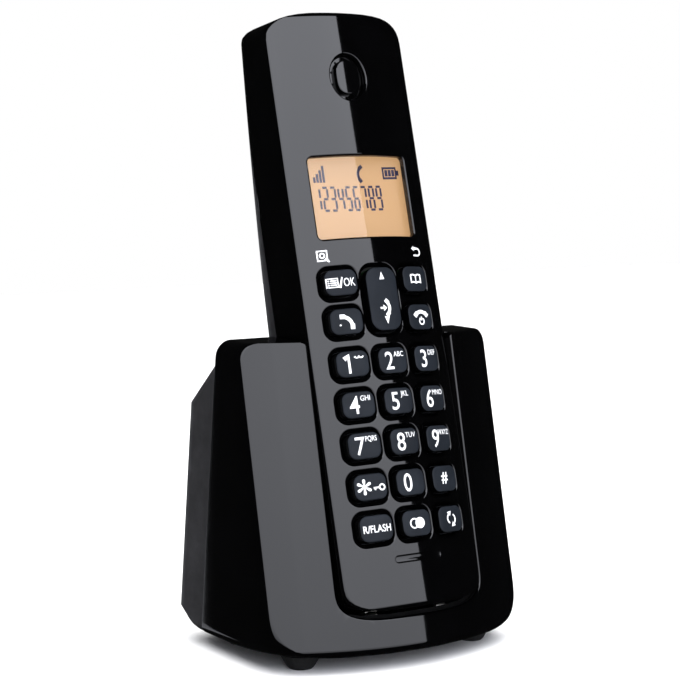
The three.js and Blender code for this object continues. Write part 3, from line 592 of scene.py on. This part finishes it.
def face_cutter(z, rings):
    """A cutter on the middle line of the handset's face."""
    return scratch("cutter", *closed_loft(on_face(0, z, rings)))


def display_cutter():
    """The display's opening, its rim rounded into the face."""
    size = (DISPLAY_WIDTH, DISPLAY_HEIGHT, DISPLAY_RADIUS)

    def outline(by):
        return round_outline(*inset(size, by), across=24)

    rings = open_end(outline(-0.9), -0.1)
    for by, depth in [(-0.5, 0.02), (-0.3, 0.1), (-0.12, 0.25), (0, 0.55), (0, 1.4)]:
        rings.append((outline(by), depth))
    return face_cutter(DISPLAY_Z, rings + [(outline(0), 0, INSIDE)])


def earpiece_cutter():
    """The earpiece's oval opening, its rim rounded into the face."""
    def outline(more):
        return oval_outline(EARPIECE_SIZE[0] + more, EARPIECE_SIZE[1] + more)

    rings = open_end(outline(1.6), -0.12)
    for more, depth in [(0.2, 0), (-0.3, 0.12), (-0.7, 0.4), (-0.95, 0.8), (-1, 1.2)]:
        rings.append((outline(more), depth))
    return face_cutter(EARPIECE_Z, rings + [(outline(-1), 0, INSIDE)])


def microphone_cutter():
    """The microphone's slot, a shallow groove with a rounded rim."""
    size = (*MICROPHONE_SIZE, MICROPHONE_SIZE[1] / 2 - 0.02)

    def outline(by):
        return round_outline(*inset(size, by), across=16)

    rings = open_end(outline(-0.3), -0.1)
    for by, depth in [(-0.1, 0.02), (0.05, 0.1), (0.2, 0.3), (0.3, 0.5), (0.5, 0.52)]:
        rings.append((outline(by), depth))
    return face_cutter(MICROPHONE_Z, rings)


def build_handset_front():
    """The gloss front of the case, hollow, with its wells, display opening and sound openings."""
    shell = scratch("handset_front", *handset_form(0))
    hollow = scratch("cutter", *handset_form(-CASE_WALL))
    combine(shell, [hollow, half_space(SPLIT, True)])
    combine(shell, [well_cutter(name) for name in KEYS])
    combine(shell, [display_cutter(), earpiece_cutter(), microphone_cutter()])
    finish_piece(shell, "handset", "gloss_black", ["handset_front_case"])
    face_normals(shell, HANDSET, lambda x, z: crown(x), lambda x, z: (x / FACE_RADIUS, 0))


def build_handset_rear():
    """The matte rear of the case, and the battery cover that slides down out of it."""
    def wall(thick):
        shell = scratch("handset_rear", *handset_form(0))
        hollow = scratch("cutter", *handset_form(-thick))
        return combine(shell, [hollow, half_space(SPLIT + GAP, False)])

    def cover_region(grow):
        half, inner = COVER_HALF + grow, COVER_INNER - grow
        return block((-half, inner, -5), (half, BEHIND, COVER_HIGH + grow))

    rear = wall(CASE_WALL)
    slots = [slot_cutter(RINGER_Z + rise, 12, 1.4) for rise in (-5, 0, 5)]
    combine(rear, [cover_region(GAP / 2), *slots])
    finish_piece(rear, "handset", "matte_black", ["handset_rear_case"])
    cover = wall(COVER_WALL)
    combine(cover, [cover_region(-GAP / 2)], "INTERSECT")
    cover.name = "battery_cover_skin"
    combine(cover, [groove_cutter(COVER_HIGH - 6 - 2.2 * i, 14) for i in range(4)])
    finish_piece(cover, "battery_cover", "matte_black", ["battery_cover"])


def slot_cutter(z, width, height):
    """A round-ended slot through the handset's back."""
    outline = round_outline(width, height, height / 2 - 0.02)
    rings = [[(u, y, z + v) for u, v in outline] for y in (15, BEHIND)]
    return scratch("cutter", *closed_loft(rings))


def groove_cutter(z, width):
    """A shallow groove for the thumb across the handset's back."""
    back = back_depth(z)
    rings = []
    for y, less in [(back - 0.45, 0.5), (back - 0.3, 0.2), (back + 0.1, -0.15), (back + 2, -0.3)]:
        outline = round_outline(width - less, 1.1 - less, (1.1 - less) / 2 - 0.02)
        rings.append([(u, y, z + v) for u, v in outline])
    return scratch("cutter", *closed_loft(rings))


build_handset_front()
build_handset_rear()
for key_name in KEYS:
    key_cap(key_name)

# ---------------------------------------------------------------- the base's form


def face_y(z):
    """Where the crown line of the base's face lies at a height."""
    return FACE_AT_FLOOR + FACE_SLOPE * z


def split_y(z):
    """Where the gloss shell ends and the matte housing starts at a height."""
    return 15.9 - 0.1137 * z


def rear_y(z):
    """The back of the rear housing: a nearly upright wall, a bevel above and a chamfer below."""
    return 33.8 - 0.119 * z - 1.06 * max(0, z - BEVEL_FROM) - 1.7 * max(0, 9.5 - z)


def base_ring(z, shrink, step, back_at, back_corner):
    """The base's outline at a height, shrunk inwards, with its sides set in by a further step.
    back_at(z) is where it ends behind, and back_corner the radius of its corners there."""
    low, high = BASE_FLOOR + shrink, BASE_HEIGHT - shrink
    half = BASE_HALF - shrink - step
    top_half = half - round_loss(TOP_CORNER - shrink, high - z)
    bottom_share = end_share(z - low, BOTTOM_REACH - shrink, BOTTOM_POWER)
    side = top_half - round_loss(BOTTOM_EDGE, z - low)
    front = min(side, top_half * bottom_share)
    chin = CHIN * (1 - math.sqrt(1 - max(0, 1 - (z - low) / BOTTOM_EDGE) ** 2))
    edge = min(3, front * 0.5)
    slope = math.atan(0.96 * side / BASE_RADIUS)
    corner_x, corner_y = edge + side - front, edge + 1.3 * (side - front)
    back = back_at(z)

    def face_at(x):
        return face_y(z) + shrink + x * x / (2 * BASE_RADIUS) + chin

    start = side - corner_x * (1 - math.sin(slope))
    right = [(start * (2 * i + 1) / 48, face_at(start * (2 * i + 1) / 48)) for i in range(24)]
    for i in range(13):
        angle = slope + (math.pi / 2 - slope) * i / 12
        out, back_by = math.sin(angle) - math.sin(slope), math.cos(slope) - math.cos(angle)
        right.append((start + corner_x * out, face_at(start) + corner_y * back_by))
    corner = min(back_corner, side * 0.5, (back - right[-1][1]) * 0.8)
    for i in range(11):
        angle = math.pi / 2 * i / 10
        right.append((side - corner + corner * math.cos(angle), back - corner + corner * math.sin(angle)))
    right += [((side - corner) * (1 - i / 6.5), back) for i in range(1, 7)]
    return mirrored(right, z)


def base_form(top, shrink, step, back_at, back_corner):
    """The base's form from its bottom edge up to top; levels are closer together near its ends."""
    low = BASE_FLOOR + shrink
    levels = [low + e for e in (0.03, 0.15, 0.4, 0.8, 1.3, 1.9, 2.6, 3.4, 4.4, 5.3, 6.5, 7.8, 9.3, 11)]
    levels += [low + 13 + i * (BEVEL_FROM - low - 13) / 24 for i in range(25)]
    levels += [top - e for e in (8.8, 7, 6, 5, 4, 3.1, 2.3, 1.7, 1.2, 0.8, 0.5, 0.25, 0.1, 0.02)]
    return closed_loft([base_ring(z, shrink, step, back_at, back_corner) for z in levels])


def slot_outline(grow, turn):
    """The outline of the slot in the base's face, in the handset's frame, counter-clockwise.
    Its walls flare outwards by turn at the top, and grow moves the whole outline outwards."""
    half, reach = HALF_WIDTH + SLOT_GAP, END_REACH + SLOT_GAP
    starts = [0.02, 0.1, 0.3, 0.6, 1, 1.5, 2.1, 2.8, 3.6, 4.6, 5.8, 7.2, 8.6, 9.9]
    starts += [12, 15, 20, 28, 36, 44, 52, 58, 61]
    right = [(half * end_share(start, reach, END_POWER), SLOT_LOW + start) for start in starts]
    for i in range(9):
        angle = math.pi / 2 * i / 8
        out, down = turn * (1 - math.cos(angle)), SLOT_FLARE * (1 - math.sin(angle))
        right.append((half + out, SLOT_SHOULDER - down))
    right.append((half + turn, SLOT_SHOULDER + 20))
    bottom = [(right[0][0] * (2 * i + 1) / 16, right[0][1]) for i in range(8)]
    right = bottom + right
    points = right + [(-x, z) for x, z in reversed(right)]
    moved_points = []
    for i, (x, z) in enumerate(points):
        before, after = points[i - 1], points[(i + 1) % len(points)]
        along = Vector((after[0] - before[0], after[1] - before[1])).normalized()
        moved_points.append((x + along.y * grow, z - along.x * grow))
    return moved_points


def slot_face(x, z):
    """Where the base's face lies, in the handset's frame."""
    start = FACE_AT_FLOOR - SEAT[1] + FACE_SLOPE * SEAT[2] + x * x / (2 * BASE_RADIUS)
    rise = FACE_SLOPE * math.cos(LEAN) - math.sin(LEAN)
    return (start + rise * z) / (math.cos(LEAN) + FACE_SLOPE * math.sin(LEAN))


def slot_cutter_of_base():
    """The slot's space: its walls run along the handset's depth, and its rim is rounded into the
    face. The flare at its top ends a little way in."""
    def ring(grow, depth, turn=SLOT_FLARE):
        return [(x, slot_face(x, z) + depth, z) for x, z in slot_outline(grow, turn)]

    def flat_ring(grow, level, turn=SLOT_FLARE):
        return [(x, level, z) for x, z in slot_outline(grow, turn)]

    wide, upright = SLOT_RIM + 0.15, 0.05
    rings = [flat_ring(wide, OUTSIDE), ring(wide, -0.06)]
    for i in range(1, 7):
        angle = math.pi / 2 * i / 6
        rings.append(ring(SLOT_RIM * (1 - math.sin(angle)), SLOT_RIM * (1 - math.cos(angle))))
    rings += [ring(0, 2.6, upright), flat_ring(0, SLOT_REACH, upright)]
    return scratch("cutter", *closed_loft(rings))


def build_base_front():
    """The gloss shell of the base: hollow, open behind, with the handset's slot, whose walls
    behind the rim are a near-black matte, painted shade in the slot."""
    shell = scratch("base_front", *base_form(BASE_HEIGHT, 0, 0, split_y, 0.2), TO_METRES)
    hollow = base_form(REAR_TOP - BASE_WALL, BASE_WALL, 0, lambda z: BEHIND, 0.2)
    combine(shell, [scratch("cutter", *hollow, TO_METRES), slot_cutter_of_base()])
    finish_piece(shell, "base", "gloss_black", ["base_front_shell"], angle=40)
    shell.data.materials.append(SHADED_POCKET_BLACK)
    back = HANDSET.inverted()
    wall_x, wall_low, wall_high = HALF_WIDTH + SLOT_GAP + 0.15, SLOT_LOW - 0.2, SLOT_SHOULDER - 2.1
    # The slot's walls behind the rim take the near-black pocket finish: painted shade.
    for polygon in shell.data.polygons:
        x, y, z = back @ polygon.center
        behind_rim = y > slot_face(x, z) + SLOT_RIM + 0.05
        if abs(x) < wall_x and wall_low < z < wall_high and behind_rim:
            polygon.material_index = 1
    face_normals(
        shell,
        TO_METRES,
        lambda x, z: face_y(z) + x * x / (2 * BASE_RADIUS),
        lambda x, z: (x / BASE_RADIUS, FACE_SLOPE),
    )


def before_split():
    """All that lies in front of the leaning joint between the base's two shells."""
    side, bottom, top = 99, -4, 100
    low, high = split_y(0) + GAP, split_y(top) + GAP
    profile = [(-side, bottom), (low, bottom), (high, top), (-side, top)]
    corners = [(x, y, z) for x in (-side, side) for y, z in profile]
    faces = [(0, 1, 2, 3), (4, 7, 6, 5), (0, 4, 5, 1), (1, 5, 6, 2), (2, 6, 7, 3), (3, 7, 4, 0)]
    return scratch("cutter", corners, faces, TO_METRES)


def build_base_rear():
    """The matte housing behind the shell, with the handset's pocket and the openings of the sockets."""
    def inner_y(z):
        return max(rear_y(z) - BASE_WALL, split_y(z) - 3)

    corner = 7
    rear = scratch("base_rear", *base_form(REAR_TOP, 0, REAR_STEP, rear_y, corner), TO_METRES)
    inner = base_form(REAR_TOP - BASE_WALL, BASE_WALL, REAR_STEP, inner_y, corner - BASE_WALL)
    hollow = scratch("cutter", *inner, TO_METRES)
    pocket = scratch("cutter", *handset_form(2.8))
    line_socket = block((-20.6, 16.5, 16.6), (-7.4, BEHIND, 29.2), TO_METRES)
    power_socket = block((7.7, 18.5, 16.6), (18.3, BEHIND, 28.2), TO_METRES)
    plate = block((-22.3, -7.5, -5), (22.3, BEHIND, 5.7), TO_METRES)
    combine(rear, [before_split(), hollow, pocket, line_socket, power_socket, plate])
    finish_piece(rear, "base", "matte_black", ["base_rear_housing"], angle=40)


build_base_front()
build_base_rear()


# ---------------------------------------------------------------- display, earpiece and window


def squared_oval(width, height):
    """A slightly squared oval outline."""
    power = 2.9
    points = []
    for i in range(PAD_STEPS):
        c, s = math.cos(TAU * i / PAD_STEPS), math.sin(TAU * i / PAD_STEPS)
        u = math.copysign(abs(c) ** (2 / power), c) * width / 2
        points.append((u, math.copysign(abs(s) ** (2 / power), s) * height / 2))
    return points


def build_earpiece():
    """The oval insert: a gloss pad in the middle of a dark groove with sound holes."""
    width, height = EARPIECE_PAD
    wide, high = EARPIECE_SIZE[0] - 1.6, EARPIECE_SIZE[1] - 1.6
    top = [(less, PAD_DEPTH) for less in (5, 3.6, 2.2, 0.7)]
    edge = [(0.35, 0.18), (0.1, 0.32), (0, 0.5), (0, 1.7)]
    rings = [(squared_oval(width - less, height - less), depth) for less, depth in top + edge]
    rings += [(oval_outline(wide, high, PAD_STEPS), depth) for depth in (1.7, 2.6)]
    insert = scratch("earpiece", *closed_loft(on_face(0, EARPIECE_Z, rings)))
    holes = []
    count, radius = 10, 0.35
    for i in range(count):
        a = TAU * (i + 0.5) / count
        x, z = (width + wide) / 4 * math.cos(a), (height + high) / 4 * math.sin(a)
        outline = [(x + radius * u, z + radius * v) for u, v in oval_outline(2, 2, 12)]
        rings = [[(u, y, EARPIECE_Z + v) for u, v in outline] for y in (1.2, 2.35)]
        holes.append(scratch("cutter", *closed_loft(rings)))
    combine(insert, holes)
    finish_piece(insert, "handset", "gloss_black", ["earpiece_grille"])
    face_normals(insert, HANDSET, lambda x, z: crown(x) + PAD_DEPTH, lambda x, z: (x / FACE_RADIUS, 0))


def build_display():
    """The clear window and the lit panel behind it. The panel shows signal bars, a receiver, a
    battery and a number, all measured rightwards and down from its upper left."""
    outline = round_outline(DISPLAY_WIDTH + 3.4, DISPLAY_HEIGHT + 3.4, DISPLAY_RADIUS, across=24, along=1)
    points, faces = closed_loft(on_face(0, DISPLAY_Z, [(outline, 1.35), (outline, 2.3)]))
    front = [face[::-1] for face in strips(outline, 0)]
    faces = faces[:-2] + front + strips(outline, len(outline))
    piece("display_glass", points, faces, "handset", "display_clear", ["display_window"])
    outline = round_outline(DISPLAY_WIDTH + 2.4, DISPLAY_HEIGHT + 3, 0.6)
    rings = on_face(0, DISPLAY_Z, [(outline, 0, DISPLAY_LEVEL), (outline, 0, DISPLAY_LEVEL + 1.2)])
    piece("display_lit", *closed_loft(rings), "handset", "display_amber", ["display_panel"])

    def surface(u, down):
        return u - 13.6, DISPLAY_LEVEL, 120.9 - down

    shown = []
    for i, rise in enumerate((1.5, 2.4, 3.4, 4.6)):
        shown += bar(1.15 + i, 6.3 - rise, 1.9 + i, 6.3)
    shown += moved(receiver(3.9, 0.85), 15.9, 4.0, 98)
    shown += bar(23.6, 2.3, 28.2, 2.9) + bar(23.6, 5.1, 28.2, 5.7) + bar(23.6, 2.9, 24.15, 5.1)
    shown += bar(27.75, 2.9, 28.2, 5.1) + bar(28.2, 3.3, 28.95, 4.7)
    for i in range(3):
        shown += bar(24.4 + i * 1.12, 3.1, 25.3 + i * 1.12, 4.9)
    for i, digit in enumerate("123456789"):
        shown += segment_digit(digit, 0.9 + 2.45 * i, 7.4, 2.0, 6.9)
    print_on("display_figures", shown, surface, "handset", NAVY_PRINT, sink=0.05)


def strips(outline, start):
    """A face across an outline that is the same above and below, as upright strips."""
    order = sorted(range(len(outline)), key=lambda i: outline[i][0])
    upper = [start + i for i in order if outline[i][1] > 0]
    lower = [start + i for i in order if outline[i][1] < 0]
    return [(a, b, d, c) for a, b, c, d in zip(upper, upper[1:], lower, lower[1:])]


SEGMENTS = {
    "1": "bc", "2": "abged", "3": "abgcd", "4": "fgbc", "5": "afgcd",
    "6": "afgedc", "7": "abc", "8": "abcdefg", "9": "abcdfg",
}


def segment_digit(digit, x, top, width, height):
    """A digit of a segmented display, measured rightwards and down from its top left."""
    thick, gap = 0.62, 0.1
    low, middle = top + height, top + height / 2
    places = {
        "a": (x + thick / 2, top, x + width - thick / 2, top + thick),
        "g": (x + thick / 2, middle - thick / 2, x + width - thick / 2, middle + thick / 2),
        "d": (x + thick / 2, low - thick, x + width - thick / 2, low),
        "f": (x, top + thick + gap, x + thick, middle - thick / 2 - gap),
        "b": (x + width - thick, top + thick + gap, x + width, middle - thick / 2 - gap),
        "e": (x, middle + thick / 2 + gap, x + thick, low - thick - gap),
        "c": (x + width - thick, middle + thick / 2 + gap, x + width, low - thick - gap),
    }
    return [polygon for name in SEGMENTS[digit] for polygon in bar(*places[name])]


def receiver(length, thick):
    """A telephone receiver lying level, its ear and mouth ends turned down."""
    half, spans = length / 2, 12
    upper = arc(0, -half * 1.1, half * 1.42, 135, 45, spans)
    lower = arc(0, -half * 1.1, half * 1.42 - thick, 132, 48, spans)
    bow = [[upper[i], upper[i + 1], lower[i + 1], lower[i]] for i in range(spans)]
    ends = []
    for side in (-1, 1):
        end = moved(bar(-thick * 0.62, -thick * 0.75, thick * 0.62, thick * 0.75), 0, 0, side * 45)
        ends += moved(end, side * half * 0.93, -half * 0.28)
    return bow + ends


# ---------------------------------------------------------------- what is printed on the keys and the face


def receiver_over_power():
    """A receiver laid across, over a power sign."""
    drawing = moved(receiver(4.0, 0.95), 0, 1.2)
    drawing += stroke(arc(0, -1.2, 0.85, 120, 420, 18), 0.36)
    return drawing + bar(-0.18, -1.0, 0.18, 0.05)


def open_book():
    """Two facing pages."""
    page = [(-1.75, 1.0), (-0.9, 1.15), (0, 0.85), (0, -1.1), (-0.9, -0.85), (-1.75, -1.0)]
    left = stroke(page, 0.4, True)
    return left + [[(-u, v) for u, v in polygon][::-1] for polygon in left]


def redial_arrows():
    """Two bent arrows that chase each other."""
    one = stroke(arc(0.2, 0, 1.35, 120, 240, 12), 0.42)
    tip = [[(-1.1, 1.7), (0.35, 1.95), (-0.1, 0.65)]]
    half = moved(one + tip, -0.25, 0.1)
    return half + moved(half, 0, 0, 180)


def menu_sign():
    """A page with a list, a slash and the letters of the key that confirms."""
    page = stroke([(-4.1, 1.15), (-1.1, 1.15), (-1.1, -1.15), (-4.1, -1.15)], 0.28, True)
    for i in range(3):
        low, high = 0.42 - 0.58 * i, 0.74 - 0.58 * i
        page += bar(-3.75, low, -3.35, high) + bar(-3.1, low, -1.45, high)
    slash = stroke([(-0.65, -1.4), (0.2, 1.4)], 0.32)
    return page + slash + lettering("OK", 2.3, 2.1, 0, 0.7)


def talk_sign():
    """A raised receiver with a dot below it."""
    return moved(receiver(4.0, 0.95), 0.45, 0.3, -48) + disc(-2.0, -0.9, 0.24, 12)


def star_sign():
    """A star beside a small key."""
    key = ring_line(2.9, -0.35, 0.72, 0.4) + bar(0.55, -0.55, 2.2, -0.15)
    return lettering("*", 6.4, -1.9, 0.1, 1.0, 0.01) + key + bar(0.75, -0.95, 1.15, -0.55)


def mute_sign():
    """A small ring in a square, with a stroke through its corner."""
    square = stroke([(-1.3, 1.3), (1.3, 1.3), (1.3, -1.3), (-1.3, -1.3)], 0.34, True)
    ring = ring_line(0, 0.05, 0.62, 0.36)
    return square + ring + stroke([(0.75, -0.75), (1.75, -1.75)], 0.4)


def return_arrow():
    """An arrow that turns back to the left."""
    turn = arc(0.45, 0, 0.95, 90, -90, 12)[1:]
    bend = stroke([(-0.9, 0.95), (0.45, 0.95), *turn, (-1.2, -0.95)], 0.42)
    return bend + [[(-1.75, 0.95), (-0.8, 1.65), (-0.8, 0.25)]]


def rings_sign():
    """An open ring that overlaps a filled disc."""
    return stroke(arc(-1.0, 0, 1.2, 50, 310, 20), 0.36) + disc(0.75, 0, 1.45, 28)


LETTERS = {
    "2": "ABC", "3": "DEF", "4": "GHI", "5": "JKL",
    "6": "MNO", "7": "PQRS", "8": "TUV", "9": "WXYZ",
}


def digit_drawing(sign):
    """A digit with its letters to the upper right. The 1 is drawn as a line, with a small wave."""
    at = -1.15 if sign == "0" else -1.35
    if sign == "1":
        one = [(at - 1.05, 1.35), (at + 0.15, 2.15), (at + 0.15, -2.45)]
        wave = arc(1.1, 2.1, 0.62, 200, 340, 8) + arc(2.3, 2.1, 0.62, 200, 340, 8)
        return stroke(one, 0.62) + stroke(wave, 0.34)
    drawing = lettering(sign, 4.9, at, 0, 0.84, 0.004)
    if sign in LETTERS:
        letters = LETTERS[sign]
        drawing += lettering(letters, 1.45, 1.75, 1.62, 0.84 if len(letters) < 4 else 0.7)
    return drawing


def navigator_drawing():
    """An arrow at each end, and below the middle a receiver that an arrow points to."""
    up = [[(-0.75, 5.2), (0.75, 5.2), (0, 7.2)]]
    down = [[(-0.75, -4.8), (0, -6.8), (0.75, -4.8)]]
    arrow = bar(-1.7, -2.75, -0.6, -2.25) + [[(-0.7, -3.35), (0.35, -2.5), (-0.7, -1.65)]]
    return up + down + arrow + moved(receiver(3.6, 0.85), 1.0, -2.5, -90)


def key_drawing(name):
    """What is printed on a key, measured from its centre."""
    sign = name.removeprefix("key_")
    if sign.isdigit():
        return digit_drawing(sign)
    drawings = {
        "menu": menu_sign,
        "phonebook": open_book,
        "navigator": navigator_drawing,
        "talk": talk_sign,
        "power": receiver_over_power,
        "star": star_sign,
        "hash": lambda: lettering("#", 3.1, -0.3, 0.1, 0.9, 0.012),
        "recall": lambda: lettering("R/FLASH", 1.95, 0, -0.1, 0.78, 0.008),
        "conference": rings_sign,
        "redial": redial_arrows,
    }
    return drawings[sign]()


def print_key(name):
    """Prints a key's drawing on its domed top."""
    x, z = KEYS[name]
    size = LONG_CAP if name == "key_navigator" else CAP

    def surface(u, v):
        return x + u, crown(x + u) + cap_depth(size, u, v), z + v

    print_on(name + "_print", key_drawing(name), surface, name, lift=0.035, sink=0.09)


def print_face(name, drawing, x, z):
    """Prints a drawing on the handset's face, around a point."""
    print_on(name, drawing, lambda u, v: (x + u, crown(x + u), z + v), "handset")


build_earpiece()
build_display()
for key_name in KEYS:
    print_key(key_name)
print_face("mute_print", mute_sign(), -15.2, 94.1)
print_face("return_print", return_arrow(), 14.9, 94.1)

# The CAD nodes that no piece stands for get a finish too.
for record_part in frame["record"]["subparts"]:
    carried = frame["nodes"][record_part["node"]]
    if not carried.hide_render:
        carried.data.materials.clear()
        # The cradle liner takes the near-black pocket finish in place of its own material: painted shade in
        # the pocket.
        dark = record_part["node"] == "cradle_liner"
        carried.data.materials.append(SHADED_POCKET_BLACK if dark else MATERIALS[record_part["material_slot"]])
        carried.data.shade_smooth()
        carried.data.set_sharp_from_angle(angle=math.radians(40))


# ---------------------------------------------------------------- floor, light and camera


def sheet_of(name, corners, material):
    """A flat sheet that belongs to the studio."""
    mesh = bpy.data.meshes.new(name)
    mesh.from_pydata(corners, [], [(0, 1, 2, 3)])
    made = object_from(name, mesh)
    made.data.materials.append(material)
    return made


def soft_box(name, bearing, distance, width, low, high, dim, bright):
    """A lit sheet that stands upright around a bearing from the object, in metres. Its light goes
    evenly from dim at its low edge to bright at its high edge, and the camera doesn't see it."""
    a = math.radians(bearing)
    out, side = Vector((math.sin(a), -math.cos(a), 0)), Vector((math.cos(a), math.sin(a), 0))
    ends = [(-1, low), (1, low), (1, high), (-1, high)]
    corners = [out * distance + side * (e * width / 2) + Vector((0, 0, z)) for e, z in ends]
    material = bpy.data.materials.new(name)
    material.use_nodes = True
    tree = material.node_tree
    tree.nodes.remove(tree.nodes["Principled BSDF"])
    where = node(tree, "ShaderNodeTexCoord").outputs["Object"]
    height = node(tree, "ShaderNodeSeparateXYZ", {"Vector": where}).outputs["Z"]
    values = {"Value": height, "From Min": low, "From Max": high, "To Min": dim, "To Max": bright}
    light = node(tree, "ShaderNodeMapRange", values).outputs["Result"]
    lamp = node(tree, "ShaderNodeEmission", {"Color": (0.9, 0.92, 1, 1), "Strength": light})
    tree.links.new(lamp.outputs[0], tree.nodes["Material Output"].inputs["Surface"])
    sheet_of(name, corners, material).visible_camera = False


def overhead(size, height, power):
    """A wide lamp above the floor, which neither the camera nor a reflection shows."""
    lamp = bpy.data.lights.new("overhead", "AREA")
    lamp.size = size
    lamp.energy = power
    made = object_from("overhead", lamp)
    made.location = (0, 0, height)
    made.visible_camera = False
    made.visible_glossy = False


floor_finish = plastic("floor", (0.88, 0.88, 0.88), (0.7, 0.85), 400, 1e-5, 0.01)
far = 1.1
floor = sheet_of("floor", [(-far, -far, 0), (far, -far, 0), (far, far, 0), (-far, far, 0)], floor_finish)
floor.visible_glossy = False
front_light = {"low": -0.3, "high": 1.2, "dim": 1.25, "bright": 5.2}
rear_light = {"low": -0.6, "high": 0.06, "dim": 0.75, "bright": 0.75}
soft_box("soft_box_front", bearing=7.5, distance=1.2, width=1.25, **front_light)
soft_box("soft_box_side", bearing=-37, distance=1.13, width=0.75, **front_light)
soft_box("soft_box_rear", bearing=185, distance=1.3, width=1.0, **rear_light)
overhead(size=3.5, height=1.8, power=150)
world = bpy.data.worlds.new("surroundings")
bpy.context.scene.world = world
world.use_nodes = True
tree = world.node_tree
background = tree.nodes["Background"]
background.inputs["Color"].default_value = (1, 1, 1, 1)
# White behind the object, with almost no light of its own.
seen = node(tree, "ShaderNodeLightPath").outputs["Is Camera Ray"]
strength = node(tree, "ShaderNodeMapRange", {"Value": seen, "To Min": 0.01, "To Max": 1.0})
tree.links.new(strength.outputs["Result"], background.inputs["Strength"])

# The camera looks from the front left, slightly down.
CAMERA_BEARING, CAMERA_TILT = 32.997, 6.056
camera = object_from("camera", bpy.data.cameras.new("camera"))
camera.location = (-0.30136, -0.45571, 0.14109)
camera.rotation_euler = (math.radians(90 - CAMERA_TILT), 0, math.radians(-CAMERA_BEARING))
camera.data.lens = 107.41
camera.data.sensor_width = 36
bpy.context.scene.camera = camera
bpy.context.scene.view_settings.view_transform = "Standard"
